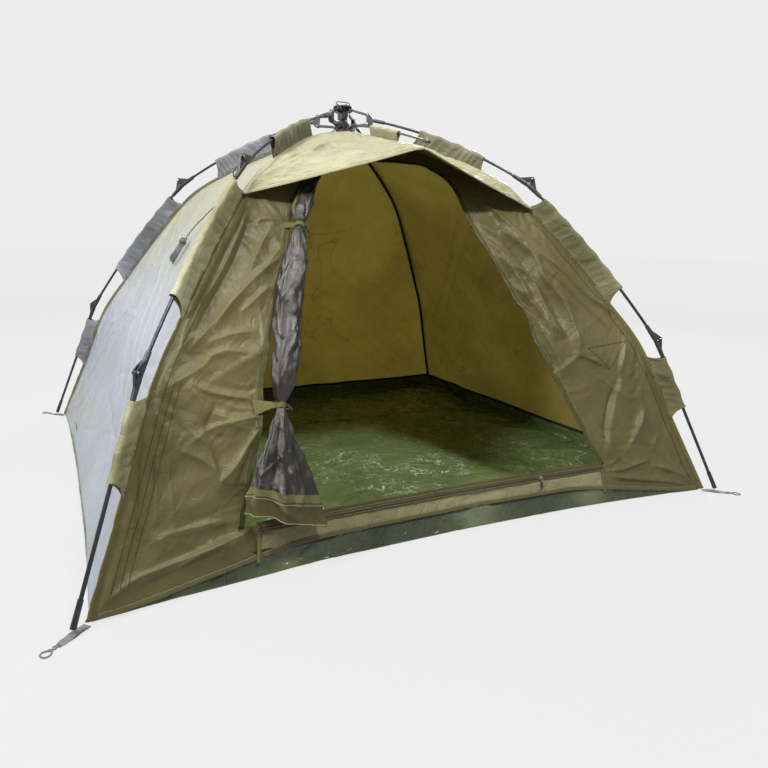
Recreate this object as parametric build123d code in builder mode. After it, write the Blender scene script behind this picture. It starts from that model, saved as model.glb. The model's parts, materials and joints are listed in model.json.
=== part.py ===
from build123d import *
import math
import os

os.makedirs("parts", exist_ok=True)

# An instant dome tent, millimetres. Origin on the ground under the hub, +Z up.
# The door faces -Y, and left and right are seen from outside the door.
# Four legs stand in the vertical planes through the hub and the foot corners.

# ---- driving dimensions ----
FOOT_X, FOOT_Y = 1050.0, 975.0  # foot contact points
R_FOOT = math.hypot(FOOT_X, FOOT_Y)
CA, SA = FOOT_X / R_FOOT, FOOT_Y / R_FOOT  # direction of a leg's plane in plan

# hub linkage, in the leg's (r, z) plane
PIN_A = (30.0, 1330.0)  # upper arm on the crown
PIN_B = (100.0, 1309.0)  # upper arm on the bracket
PIN_C = (30.0, 1270.0)  # lower arm on the runner
PIN_D = (100.0, 1276.0)  # lower arm on the bracket
ROOT = (112.0, 1291.5)  # start of the upper pole's axis
ELBOW_1 = (700.0, 1060.0)
ELBOW_2 = (1178.0, 532.0)
FOOT = (1430.0, 9.2)
BEND_1, BEND_2 = 10.0, 6.0  # half of the turn of each curved pole, degrees
OFF_1, OFF_2 = 24.0, 15.0  # hinge pin outside the pole's axis
TUBE_R1, TUBE_R2, TUBE_R3, TUBE_WALL = 4.4, 4.75, 5.0, 0.8
SOCKET_R, SOCKET_R_END, SOCKET_L = 8.5, 6.6, 62.0
SKIN = 1.6  # canopy shell
SEAM = 65.0  # canopy corner seam inside the pole
TUB_H = 66.0

LEGS = {
    "front_left": (-1, -1),
    "front_right": (1, -1),
    "back_left": (-1, 1),
    "back_right": (1, 1),
}


def leg_plane(sx, sy):
    ux, uy = sx * CA, sy * SA
    return Plane(origin=(0, 0, 0), x_dir=(ux, uy, 0), z_dir=(uy, -ux, 0))


def at_leg(sx, sy, r, z, t=0.0):
    ux, uy = sx * CA, sy * SA
    return Vector(r * ux + t * uy, r * uy - t * ux, z)


def finish(builder, label):
    builder.part.label = label
    export_step(builder.part, "parts/" + label + ".step")


# ---- curves in the leg's plane ----
class Arc2:
    """Circular arc from p to q, turning clockwise by twice the half turn."""

    def __init__(self, p, q, half_deg):
        self.p, self.q = p, q
        length = math.dist(p, q)
        self.chord = math.atan2(q[1] - p[1], q[0] - p[0])
        self.h = math.radians(half_deg)
        self.radius = length / 2 / math.sin(self.h)
        a = self.chord + self.h
        self.c = (p[0] + self.radius * math.sin(a), p[1] - self.radius * math.cos(a))
        self.length = 2 * self.radius * self.h

    def angle(self, s):
        return self.chord + self.h - s / self.radius

    def point(self, s, out=0.0):
        a = self.angle(s)
        rr = self.radius + out
        return (self.c[0] - rr * math.sin(a), self.c[1] + rr * math.cos(a))

    def s_at_r(self, r):
        lo, hi = 0.0, self.length
        for _ in range(60):
            mid = (lo + hi) / 2
            if self.point(mid)[0] < r:
                lo = mid
            else:
                hi = mid
        return lo


class Line2:
    def __init__(self, p, q):
        self.p, self.q = p, q
        self.a = math.atan2(q[1] - p[1], q[0] - p[0])
        self.length = math.dist(p, q)

    def angle(self, s):
        return self.a

    def point(self, s, out=0.0):
        return (
            self.p[0] + s * math.cos(self.a) - out * math.sin(self.a),
            self.p[1] + s * math.sin(self.a) + out * math.cos(self.a),
        )

    def s_at_r(self, r):
        return (r - self.p[0]) / math.cos(self.a)


ARC_1 = Arc2(ROOT, ELBOW_1, BEND_1)
ARC_2 = Arc2(ELBOW_1, ELBOW_2, BEND_2)
LINE_3 = Line2(ELBOW_2, FOOT)
BUTT_1 = (ARC_1.angle(ARC_1.length) + ARC_2.angle(0)) / 2
BUTT_2 = (ARC_2.angle(ARC_2.length) + LINE_3.angle(0)) / 2
HINGE_1 = (ELBOW_1[0] - OFF_1 * math.sin(BUTT_1), ELBOW_1[1] + OFF_1 * math.cos(BUTT_1))
HINGE_2 = (ELBOW_2[0] - OFF_2 * math.sin(BUTT_2), ELBOW_2[1] + OFF_2 * math.cos(BUTT_2))

# ---- canopy corner seam, r against z ----
SEAM_POINTS = [(0.0, 1238.0), (45.0, 1235.6)]
SEAM_POINTS += [ARC_1.point(ARC_1.length * f, -SEAM) for f in (0.0, 0.3, 0.65)]
SEAM_POINTS += [(ELBOW_1[0] - 38.0, ELBOW_1[1] - 52.5)]
SEAM_POINTS += [ARC_2.point(ARC_2.length * f, -SEAM) for f in (0.35, 0.7)]
SEAM_POINTS += [(ELBOW_2[0] - 53.0, ELBOW_2[1] - 30.0)]
SEAM_POINTS += [LINE_3.point(LINE_3.length * 0.45, -55.0), (1335.0, 94.9), (1381.5, 6.0)]


def refine(pts, n=3):
    """A Catmull-Rom curve through the points, n stretches between each two."""
    ends = [(2 * pts[0][0] - pts[1][0], pts[1][1])] + pts + [(2 * pts[-1][0] - pts[-2][0], 2 * pts[-1][1] - pts[-2][1])]
    out = []
    for p0, p1, p2, p3 in zip(ends, ends[1:], ends[2:], ends[3:]):
        for i in range(n):
            t = i / n
            out.append(tuple(
                0.5 * (2 * b + (c - a) * t + (2 * a - 5 * b + 4 * c - d) * t * t + (3 * b - a - 3 * c + d) * t**3)
                for a, b, c, d in zip(p0, p1, p2, p3)
            ))
    return out + [pts[-1]]


SEAM_POINTS = refine(SEAM_POINTS)


def seam_r(z):
    pts = SEAM_POINTS
    for (r0, z0), (r1, z1) in zip(pts, pts[1:]):
        if z1 <= z <= z0:
            return r0 + (r1 - r0) * (z0 - z) / (z0 - z1)
    return pts[-1][0] if z < pts[-1][1] else 0.0


print("hinge 1", HINGE_1, "hinge 2", HINGE_2)
print("butt angles", math.degrees(BUTT_1), math.degrees(BUTT_2))
print("seam", [(round(r, 1), round(z, 1)) for r, z in SEAM_POINTS])


def bar(p, q, half):
    """Corners of a straight bar between two pins."""
    a = math.atan2(q[1] - p[1], q[0] - p[0])
    nx, nz = -half * math.sin(a), half * math.cos(a)
    return [(p[0] + nx, p[1] + nz), (q[0] + nx, q[1] + nz), (q[0] - nx, q[1] - nz), (p[0] - nx, p[1] - nz)]


def curve_path(curve, s0, s1):
    """Adds the stretch of a curve to the open BuildLine."""
    if isinstance(curve, Line2):
        Line(curve.point(s0), curve.point(s1))
    else:
        ThreePointArc(curve.point(s0), curve.point((s0 + s1) / 2), curve.point(s1))


def section_plane(sx, sy, curve, s):
    """Plane across the curve: local x is across the leg's plane, local y points inward."""
    a = curve.angle(s)
    r, z = curve.point(s)
    ux, uy = sx * CA, sy * SA
    return Plane(
        origin=at_leg(sx, sy, r, z),
        x_dir=(uy, -ux, 0),
        z_dir=(math.cos(a) * ux, math.cos(a) * uy, math.sin(a)),
    )


# ================= hub =================
with BuildPart() as hub_crown:
    with BuildSketch(Plane.XY.offset(1296)):
        Circle(20)
    extrude(amount=38)
    with BuildSketch(Plane.XY.offset(1338)):
        Circle(36)
    extrude(amount=5)
    with BuildSketch(Plane.XY.offset(1334)):
        Circle(20)
    extrude(amount=4)
    fillet(hub_crown.edges().filter_by(GeomType.CIRCLE).group_by(Axis.Z)[-1], 2.2)
    with BuildSketch(Plane.XY.offset(1272)):
        Circle(9)
    extrude(amount=24.5)
    for sx, sy in LEGS.values():
        with BuildSketch(leg_plane(sx, sy)):
            with BuildLine():
                Polyline((17, 1338.5), (17, 1317), (30, 1321), (38, 1330), (35, 1338.5), close=True)
            make_face()
        extrude(amount=8.0, both=True)
        with BuildSketch(leg_plane(sx, sy)):
            with BuildLine():
                Polyline((22, 1337), (22, 1312), (45, 1312), (45, 1337), close=True)
            make_face()
        extrude(amount=3.8, both=True, mode=Mode.SUBTRACT)
        with BuildSketch(leg_plane(sx, sy)):
            with Locations(PIN_A):
                Circle(2.56)
        extrude(amount=9, both=True, mode=Mode.SUBTRACT)
    # the arm pins, one across each clevis
    for sx, sy in LEGS.values():
        with BuildSketch(leg_plane(sx, sy)):
            with Locations(PIN_A):
                Circle(2.5)
        extrude(amount=8.6, both=True)
finish(hub_crown, "hub_crown")

with BuildPart() as hub_runner:
    with BuildSketch(Plane.XY.offset(1256)):
        Circle(28)
    extrude(amount=6)
    with BuildSketch(Plane.XY.offset(1262)):
        Circle(20)
    extrude(amount=28)
    chamfer(hub_runner.edges().filter_by(GeomType.CIRCLE).group_by(Axis.Z)[-1], 1.5)
    for sx, sy in LEGS.values():
        with BuildSketch(leg_plane(sx, sy)):
            with BuildLine():
                Polyline((16, 1283), (16, 1258), (26, 1258), (36, 1265), (36.5, 1273), (30, 1277), close=True)
            make_face()
        extrude(amount=6.4, both=True)
    with BuildSketch(Plane.XY.offset(1270)):
        Circle(9.08)
    extrude(amount=25, mode=Mode.SUBTRACT)
    for sx, sy in LEGS.values():
        with BuildSketch(leg_plane(sx, sy)):
            with Locations(PIN_C):
                Circle(2.5)
        extrude(amount=10.2, both=True)
finish(hub_runner, "hub_runner")

# cord loop on the crown, used to pull the frame open
with BuildPart() as hub_pull_loop:
    with BuildSketch(Plane.XZ):
        with Locations((0, 1352.85)):
            SlotOverall(62, 19.6)
        with Locations((0, 1352.85)):
            SlotOverall(53, 10.6, mode=Mode.SUBTRACT)
    extrude(amount=2.2, both=True)
    fillet(hub_pull_loop.edges().filter_by(lambda e: abs(e.center().Y) > 2.0), 1.6)
finish(hub_pull_loop, "hub_pull_loop")

# ================= legs =================
for name, (sx, sy) in LEGS.items():
    P = leg_plane(sx, sy)

    with BuildPart() as upper_arm:
        with BuildSketch(P):
            with BuildLine():
                Polyline(*bar(PIN_A, PIN_B, 4.0), close=True)
            make_face()
            with Locations(PIN_A, PIN_B):
                Circle(6)
            with Locations(PIN_A, PIN_B):
                Circle(2.6, mode=Mode.SUBTRACT)
        extrude(amount=3.5, both=True)
    finish(upper_arm, "upper_arm_" + name)

    with BuildPart() as lower_arm:
        for t0 in (6.8, -9.2):
            with BuildSketch(P.offset(t0)):
                with BuildLine():
                    Polyline(*bar(PIN_C, PIN_D, 3.6), close=True)
                make_face()
                with Locations(PIN_C, PIN_D):
                    Circle(5.6)
                with Locations(PIN_C, PIN_D):
                    Circle(2.6, mode=Mode.SUBTRACT)
            extrude(amount=2.4)
    finish(lower_arm, "lower_arm_" + name)

    # bracket: two cheeks on the arms' pins, and a socket for the upper pole
    with BuildPart() as bracket:
        with BuildSketch(P):
            with BuildLine():
                Polyline((94, 1312), (103, 1316), (118, 1300), (118, 1280), (105, 1269.5), (96, 1270), close=True)
            make_face()
        extrude(amount=6.4, both=True)
        with BuildSketch(P):
            with BuildLine():
                Polyline((80, 1330), (107.5, 1330), (107.5, 1255), (80, 1255), close=True)
            make_face()
        extrude(amount=3.9, both=True, mode=Mode.SUBTRACT)
        with BuildSketch(section_plane(sx, sy, ARC_1, 0)):
            Circle(6.45)
        extrude(amount=52)
        with BuildLine(P) as bore_path:
            curve_path(ARC_1, 4, 80)
        with BuildSketch(section_plane(sx, sy, ARC_1, 4)):
            Circle(TUBE_R1 + 0.1)
        sweep(path=bore_path.line, mode=Mode.SUBTRACT)
        with BuildSketch(P):
            with Locations(PIN_B):
                Circle(2.56)
        extrude(amount=9, both=True, mode=Mode.SUBTRACT)
        with BuildSketch(P):
            with Locations(PIN_B):
                Circle(2.5)
        extrude(amount=6.55, both=True)
    finish(bracket, "leg_bracket_" + name)

    # poles
    def pole(curve, s0, s1, radius, label, foot=False):
        with BuildPart() as p:
            with BuildLine(P) as path:
                curve_path(curve, s0, s1)
            with BuildSketch(section_plane(sx, sy, curve, s0)):
                Circle(radius)
                Circle(radius - TUBE_WALL, mode=Mode.SUBTRACT)
            sweep(path=path.line)
            if foot:
                with BuildSketch(section_plane(sx, sy, curve, s1 - 62)):
                    Circle(6.6)
                extrude(amount=62 + 1.2, taper=-0.6)
                with BuildSketch(section_plane(sx, sy, curve, s1 - 66)):
                    Circle(radius + 0.05)
                extrude(amount=66, mode=Mode.SUBTRACT)
                with BuildLine(P) as path:
                    curve_path(curve, s0, s1)
                with BuildSketch(section_plane(sx, sy, curve, s0)):
                    Circle(radius)
                    Circle(radius - TUBE_WALL, mode=Mode.SUBTRACT)
                sweep(path=path.line)
        finish(p, label + name)

    pole(ARC_1, 5, ARC_1.length - 3, TUBE_R1, "upper_pole_")
    pole(ARC_2, 3, ARC_2.length - 3, TUBE_R2, "middle_pole_")
    pole(LINE_3, 3, LINE_3.length - 8, TUBE_R3, "lower_pole_", foot=True)

    # elbows: a fork with its rivet on the upper side, a knuckle on the lower side
    for which, upper, lower, r_up, r_low, hinge, butt, off, rho in (
        ("upper", ARC_1, ARC_2, TUBE_R1, TUBE_R2, HINGE_1, BUTT_1, OFF_1, 7.0),
        ("lower", ARC_2, LINE_3, TUBE_R2, TUBE_R3, HINGE_2, BUTT_2, OFF_2, 5.6),
    ):
        corner = upper.point(upper.length)
        # local plane at the butt: x along the leg, y outward
        ux, uy = sx * CA, sy * SA
        B = Plane(
            origin=at_leg(sx, sy, *corner),
            x_dir=(math.cos(butt) * ux, math.cos(butt) * uy, math.sin(butt)),
            z_dir=(uy, -ux, 0),
        )
        for side, curve, radius, label in (
            (-1, upper, r_up, which + "_elbow_fork_"),
            (1, lower, r_low, which + "_elbow_knuckle_"),
        ):
            with BuildPart() as el:
                # tapered socket, its axis the chord of the pole's stretch inside it
                if side < 0:
                    s_in, s_out = curve.length - 1.0, curve.length - SOCKET_L
                else:
                    s_in, s_out = 1.0, SOCKET_L
                p_in, p_out = curve.point(s_in), curve.point(s_out)
                ang = math.atan2(p_out[1] - p_in[1], p_out[0] - p_in[0])
                axis_plane = Plane(
                    origin=at_leg(sx, sy, *p_in),
                    x_dir=(uy, -ux, 0),
                    z_dir=(math.cos(ang) * ux, math.cos(ang) * uy, math.sin(ang)),
                )
                with BuildSketch(axis_plane):
                    Circle(SOCKET_R)
                with BuildSketch(axis_plane.offset(14)):
                    Circle(SOCKET_R)
                loft()
                with BuildSketch(axis_plane.offset(14)):
                    Circle(SOCKET_R)
                with BuildSketch(axis_plane.offset(SOCKET_L)):
                    Circle(SOCKET_R_END)
                loft()
                # ears or tongue
                with BuildSketch(B):
                    with BuildLine():
                        Polyline((side * 36, 3), (side * 5.5, 3), (side * 20, 12), close=True)
                    make_face()
                    with Locations((0, off)):
                        Circle(rho)
                    make_hull()
                extrude(amount=6.4 if side < 0 else 3.0, both=True)
                if side < 0:
                    with BuildSketch(B):
                        with BuildLine():
                            # the slot runs back along the socket, where the folded tongue lies
                            Polyline((-rho - 4, 7.2), (-27, 9.3), (-27, off + rho + 2), (rho + 3, off + rho + 2), (rho + 3, 7.2), close=True)
                        make_face()
                    extrude(amount=3.3, both=True, mode=Mode.SUBTRACT)
                with BuildLine(P) as bore_path:
                    if side < 0:
                        curve_path(curve, curve.length - SOCKET_L - 8, curve.length - 1.0)
                    else:
                        curve_path(curve, 1.0, SOCKET_L + 8)
                with BuildSketch(section_plane(sx, sy, curve, curve.length - SOCKET_L - 8 if side < 0 else 1.0)):
                    Circle(radius + 0.1)
                sweep(path=bore_path.line, mode=Mode.SUBTRACT)
                with BuildSketch(B):
                    with Locations((0, off)):
                        Circle(2.56 if side < 0 else 2.6)
                extrude(amount=9, both=True, mode=Mode.SUBTRACT)
                if side < 0:
                    with BuildSketch(B):
                        with Locations((0, off)):
                            Circle(2.5)
                    extrude(amount=6.6, both=True)
                    for t0 in (6.55, -8.05):
                        with BuildSketch(B.offset(t0)):
                            with Locations((0, off)):
                                Circle(4.2)
                        extrude(amount=1.5)
            finish(el, label + name)

# ================= fabric =================
BOW = {"front": 66.0, "back": 40.0, "side": 12.0}


def bow(z, most):
    f = max(0.0, 1 - z / 600.0)
    return most * f * f


def panel_profile(k, most, half_end, lateral, inner):
    """Profile of a panel at a lateral station: (outward distance, z) points."""
    pts = []
    n = len(SEAM_POINTS)
    for i, (r, z) in enumerate(SEAM_POINTS):
        j0, j1 = max(0, i - 1), min(n - 1, i + 1)
        dr, dz = (SEAM_POINTS[j1][0] - SEAM_POINTS[j0][0]) * k, SEAM_POINTS[j1][1] - SEAM_POINTS[j0][1]
        length = math.hypot(dr, dz)
        nx, nz = dz / length, -dr / length  # points inward and down
        width = half_end * r
        share = 1 - (lateral / width) ** 2 if width > 600 else 0.0
        d = k * r - bow(z, most) * share
        if i == 0:
            nx, nz = 0.0, -1.0
        pts.append((d + nx * inner, z + nz * inner))
    if inner:
        pts[-1] = (pts[-1][0], SEAM_POINTS[-1][1])
    return pts


def panel(axis, sign, most, door=None):
    """One canopy side: a thin shell lofted along its width, trimmed by the two leg planes."""
    k, half_end = (SA, CA) if axis == "y" else (CA, SA)
    wide = half_end * SEAM_POINTS[-1][0]
    with BuildPart() as shell:
        for lateral in (-wide - 8, 0.0, wide + 8):
            if axis == "y":
                pl = Plane(origin=(lateral, 0, 0), x_dir=(0, sign, 0), z_dir=(sign, 0, 0))
            else:
                pl = Plane(origin=(0, lateral, 0), x_dir=(sign, 0, 0), z_dir=(0, -sign, 0))
            outer = panel_profile(k, most, half_end, lateral, 0.0)
            inner = panel_profile(k, most, half_end, lateral, SKIN)
            with BuildSketch(pl):
                with BuildLine():
                    Spline(*outer)
                    Spline(*inner)
                    Line(outer[0], inner[0])
                    Line(outer[-1], inner[-1])
                make_face()
        loft()
        with BuildSketch(Plane.XY.offset(-10)):
            with BuildLine():
                g = 0.25
                if axis == "y":
                    Polyline((0, sign * g), (1600 * CA, sign * (1600 * SA + g)), (-1600 * CA, sign * (1600 * SA + g)), close=True)
                else:
                    Polyline((sign * g, 0), (sign * (1600 * CA + g), 1600 * SA), (sign * (1600 * CA + g), -1600 * SA), close=True)
            make_face()
        extrude(amount=1300, mode=Mode.INTERSECT)
        if door:
            with BuildSketch(Plane.XZ):
                with BuildLine():
                    Polyline(*door, close=True)
                make_face()
            extrude(amount=1300, mode=Mode.SUBTRACT)
    return shell


DOOR = [
    (-640, 132), (-617, 274), (-565, 489), (-513, 688), (-466, 821), (-405, 940),
    (-310, 1035), (-190, 1088), (-40, 1118), (110, 1126), (205, 1112), (258, 1058),
    (294, 964), (322, 800), (366, 578), (457, 354), (528, 190), (585, 132),
]
finish(panel("y", -1, BOW["front"], DOOR), "canopy_front")
finish(panel("y", 1, BOW["back"]), "canopy_back")
finish(panel("x", -1, BOW["side"]), "canopy_left")
finish(panel("x", 1, BOW["side"]), "canopy_right")


# floor tub: ground sheet with a low upturned wall just inside the canopy
def tub_outline(z, shrink):
    r = seam_r(max(z, 6.0)) - shrink - 6.4
    x, y = r * CA, r * SA
    fx, bk, sd = (bow(z, BOW[n]) for n in ("front", "back", "side"))
    ThreePointArc((-x, -y), (0, -y + fx), (x, -y))
    ThreePointArc((x, -y), (x - sd, 0), (x, y))
    ThreePointArc((x, y), (0, y - bk), (-x, y))
    ThreePointArc((-x, y), (-x + sd, 0), (-x, -y))


with BuildPart() as floor_tub:
    for z in (0.0, TUB_H):
        with BuildSketch(Plane.XY.offset(z)):
            with BuildLine():
                tub_outline(z, 0.0)
            make_face()
    loft(ruled=True)
    for z in (1.5, TUB_H + 1):
        with BuildSketch(Plane.XY.offset(z)):
            with BuildLine():
                tub_outline(z, 2.4)
            make_face()
    loft(ruled=True, mode=Mode.SUBTRACT)
finish(floor_tub, "floor_tub")

# sleeves on the poles, with the web that hangs the canopy from them
with BuildPart() as pole_sleeves:
    for sx, sy in LEGS.values():
        P = leg_plane(sx, sy)
        for curve, r0, r1, web, tube in (
            (ARC_1, 300, 538, 58.5, TUBE_R1),
            (ARC_2, 757, 1042, 57.5, TUBE_R2),
            (LINE_3, 1206, 1290, 46.0, TUBE_R3),
        ):
            s0, s1 = curve.s_at_r(r0), curve.s_at_r(r1)
            with BuildLine(P) as path:
                curve_path(curve, s0, s1)
            with BuildSketch(section_plane(sx, sy, curve, s0)):
                Circle(tube + 2.6)
                with Locations((0, (web + tube) / 2)):
                    Rectangle(2.0, web - tube)
                Circle(tube + 1.2, mode=Mode.SUBTRACT)
            sweep(path=path.line)
finish(pole_sleeves, "pole_sleeves")

# awning over the door: two sloping halves from the front seams to a ridge
AWN_SEAM = [(95, 1234), (300, 1192.5), (520, 1104), (640, 1030), (722, 962)]
AWN_RIDGE = [(-72, 1244), (-225, 1211), (-380, 1178), (-505, 1152), (-611, 1130)]
with BuildPart() as awning:
    for s in (-1, 1):
        for (r, z), (y, zr) in zip(AWN_SEAM, AWN_RIDGE):
            a = Vector(s * (r * CA - 4.2 * SA), -(r * SA + 4.2 * CA), z + 5.0)
            b = Vector(s * 0.3, y, zr)
            x_dir = Vector(b.X - a.X, b.Y - a.Y, 0)
            pl = Plane(origin=(a.X, a.Y, 0), x_dir=x_dir, z_dir=x_dir.normalized().cross(Vector(0, 0, 1)))
            span = x_dir.length
            with BuildSketch(pl):
                with BuildLine():
                    Polyline((0, a.Z), (span, b.Z), (span, b.Z - SKIN), (0, a.Z - SKIN), close=True)
                make_face()
        loft(ruled=True)
finish(awning, "awning")

# curved strut that pushes the awning's peak out
STRUT_A, STRUT_M, STRUT_B = (-84.0, 1266.0), (-365.0, 1211.0), (-642.0, 1142.0)
with BuildPart() as awning_pole:
    with BuildLine(Plane.YZ) as strut:
        ThreePointArc(STRUT_A, STRUT_M, STRUT_B)
    with BuildSketch(Plane(origin=strut.line @ 0, z_dir=strut.line % 0)):
        Circle(3.5)
    sweep(path=strut.line)
finish(awning_pole, "awning_pole")
with BuildPart() as awning_pole_sleeve:
    with BuildLine(Plane.YZ) as part_of:
        ThreePointArc(strut.line @ 0.29, strut.line @ 0.47, strut.line @ 0.66)
    with BuildSketch(Plane(origin=part_of.line @ 0, x_dir=(1, 0, 0), z_dir=part_of.line % 0)):
        Circle(6.4)
        with Locations((0, -12.0)):
            Rectangle(1.8, 13)
        Circle(4.6, mode=Mode.SUBTRACT)
    sweep(path=part_of.line)
finish(awning_pole_sleeve, "awning_pole_sleeve")

def front_y(x, z):
    w = CA * seam_r(z)
    return -(SA * seam_r(z)) + bow(z, BOW["front"]) * (1 - (x / w) ** 2)


# rolled door on the left edge of the opening: pinched twice by its ties
ROLL = [  # z, x, radius across, radius deep
    (1002, -334, 24, 17),
    (950, -351, 30, 22),
    (893, -372, 11, 10),
    (780, -420, 27, 22),
    (640, -468, 29, 23),
    (500, -500, 26, 20),
    (428, -516, 8.5, 8.5),
    (300, -528, 42, 20),
    (170, -528, 72, 24),
    (120, -524, 76, 26),
]


def roll_centre(z, x, ry):
    return (x, front_y(x, z) - ry - 6.5, z)


with BuildPart() as rolled_door:
    for z, x, rx, ry in ROLL:
        with BuildSketch(Plane(origin=roll_centre(z, x, ry), x_dir=(1, 0, 0), z_dir=(0, 0, 1))):
            Ellipse(rx, ry)
    loft()
finish(rolled_door, "rolled_door")

# ties round the rolled door, each a fabric strap with a toggle
with BuildPart() as door_ties:
    for i, rr in ((2, 14.6), (6, 13.2)):
        above, here, below = (Vector(*roll_centre(ROLL[j][0], ROLL[j][1], ROLL[j][3])) for j in (i - 1, i, i + 1))
        along = (above - below).normalized()
        with BuildSketch(Plane(origin=here - along * 6, x_dir=(1, 0, 0), z_dir=along)):
            Circle(rr + 1.4)
            Circle(rr, mode=Mode.SUBTRACT)
        extrude(amount=12)
        with BuildSketch(Plane(origin=here + Vector(rr + 6, -3, -16), z_dir=along)):
            Circle(3.2)
        extrude(amount=32)
finish(door_ties, "door_ties")

# webbing straps under the feet, each ending in a peg loop
LOOP_R = 1500.0
with BuildPart() as foot_straps:
    for sx, sy in LEGS.values():
        ux, uy = sx * CA, sy * SA
        pl = Plane(origin=(0, 0, 0), x_dir=(ux, uy, 0), z_dir=(0, 0, 1))
        with BuildSketch(pl):
            with Locations(((1387 + 1466) / 2, 0)):
                Rectangle(1466 - 1387, 22)
            with Locations(((1464 + LOOP_R - 6) / 2, 0)):
                Rectangle(LOOP_R - 6 - 1464, 12)
            with Locations((LOOP_R, 0)):
                Circle(14)
            with Locations((LOOP_R, 0)):
                Circle(8, mode=Mode.SUBTRACT)
        extrude(amount=2.2)
finish(foot_straps, "foot_straps")

# hooks that hang the roof from the runner's flange
with BuildPart() as roof_hooks:
    for i in range(4):
        a = math.radians(90 * i)
        c, s = math.cos(a), math.sin(a)
        pl = Plane(origin=(0, 0, 0), x_dir=(c, s, 0), z_dir=(s, -c, 0))
        with BuildSketch(pl):
            with BuildLine():
                Polyline((28.8, 1260), (31, 1262), (46, 1246), (58, 1240.5), (58, 1238.3), (44, 1242.5), close=True)
            make_face()
        extrude(amount=4, both=True)
finish(roof_hooks, "roof_hooks")

# guy line: tied at the front left elbow, lying on the left side of the canopy
GUY_D = 3.6


def on_left(y, z, out):
    """A point held out of the canopy's left side."""
    return (-(seam_r(z) * CA) - out, y, z)


GUY = [
    tuple(at_leg(-1, -1, ELBOW_1[0] - 14, ELBOW_1[1] + 6, 11.0)),
    tuple(at_leg(-1, -1, ELBOW_1[0] - 10, ELBOW_1[1] - 12, 52.0)),
    on_left(-388, 1010, 32),
    on_left(-320, 986, 14),
    on_left(-262, 962, 10),
    on_left(-206, 934, 10),
    on_left(-152, 900, 10),
    on_left(-108, 862, 11),
]


def fillet_radii(pts):
    out = []
    for i in range(1, len(pts) - 1):
        a, b = Vector(*pts[i]) - Vector(*pts[i - 1]), Vector(*pts[i + 1]) - Vector(*pts[i])
        turn = math.radians(a.get_angle(b))
        out.append(0.45 * min(a.length, b.length) / math.tan(turn / 2))
    return out


GUY_RADII = fillet_radii(GUY)
print("guy runs", [round((Vector(*b) - Vector(*a)).length, 1) for a, b in zip(GUY, GUY[1:])])
print("guy radii", [round(r, 1) for r in GUY_RADII])
with BuildPart() as guy_line:
    with BuildLine() as guy_path:
        FilletPolyline(*GUY, radius=GUY_RADII)
    with BuildSketch(Plane(origin=guy_path.line @ 0, z_dir=guy_path.line % 0)):
        Circle(GUY_D / 2)
    sweep(path=guy_path.line)
guy_length = sum(e.length for e in guy_path.edges())
print("guy length", guy_length, "volume ratio", guy_line.part.volume / (guy_length * math.pi * GUY_D**2 / 4))
finish(guy_line, "guy_line")

# the rest of the guy line, folded into a hank on the same slope
end, start = Vector(*GUY[-1]), Vector(*GUY[-2])
hank_a, hank_b = Vector(*on_left(-106, 860, 11)), Vector(*on_left(-126, 762, 11))
run = (hank_b - hank_a).normalized()
end = end + run * 2.0
with BuildPart() as guy_line_hank:
    with BuildSketch(Plane(origin=end, x_dir=(0, 1, 0), z_dir=run)):
        Ellipse(9, 6)
    with BuildSketch(Plane(origin=end + run * 55, x_dir=(0, 1, 0), z_dir=run)):
        Ellipse(15, 7.5)
    with BuildSketch(Plane(origin=end + run * 112, x_dir=(0, 1, 0), z_dir=run)):
        Ellipse(8, 5.5)
    loft()
finish(guy_line_hank, "guy_line_hank")


# zip along the sill and its slider
SILL_Z = 122.0
with BuildPart() as sill_zip:
    with BuildLine() as zip_path:
        ThreePointArc(
            (-600, front_y(-600, SILL_Z) - 3.2, SILL_Z),
            (0, front_y(0, SILL_Z) - 3.2, SILL_Z),
            (580, front_y(580, SILL_Z) - 3.2, SILL_Z),
        )
    with BuildSketch(Plane(origin=zip_path.line @ 0, x_dir=(0, 0, 1), z_dir=zip_path.line % 0)):
        Rectangle(7, 2.2)
    sweep(path=zip_path.line)
finish(sill_zip, "sill_zip")

zip_arc = zip_path.edges()[0]
print("zip arc centre", zip_arc.arc_center, "radius", zip_arc.radius)
ZX = 330.0
zy = front_y(ZX, SILL_Z)
with BuildPart() as zip_slider:
    with BuildSketch(Plane.XZ.offset(-zy + 5.0)):
        with Locations((ZX, SILL_Z)):
            RectangleRounded(15, 10, 2.5)
    extrude(amount=4)
    # the pull lies along the slope below
    with BuildSketch(Plane(origin=(ZX, zy - 8.2, SILL_Z - 3), x_dir=(1, 0, 0), z_dir=(0, -0.94, 0.34))):
        with Locations((0, -14)):
            SlotOverall(30, 7, rotation=90)
        with Locations((0, -23)):
            Circle(1.6, mode=Mode.SUBTRACT)
    extrude(amount=2)
finish(zip_slider, "zip_slider")
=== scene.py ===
import bpy, bmesh, json, math
import numpy as np
from mathutils import Vector, Matrix

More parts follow.
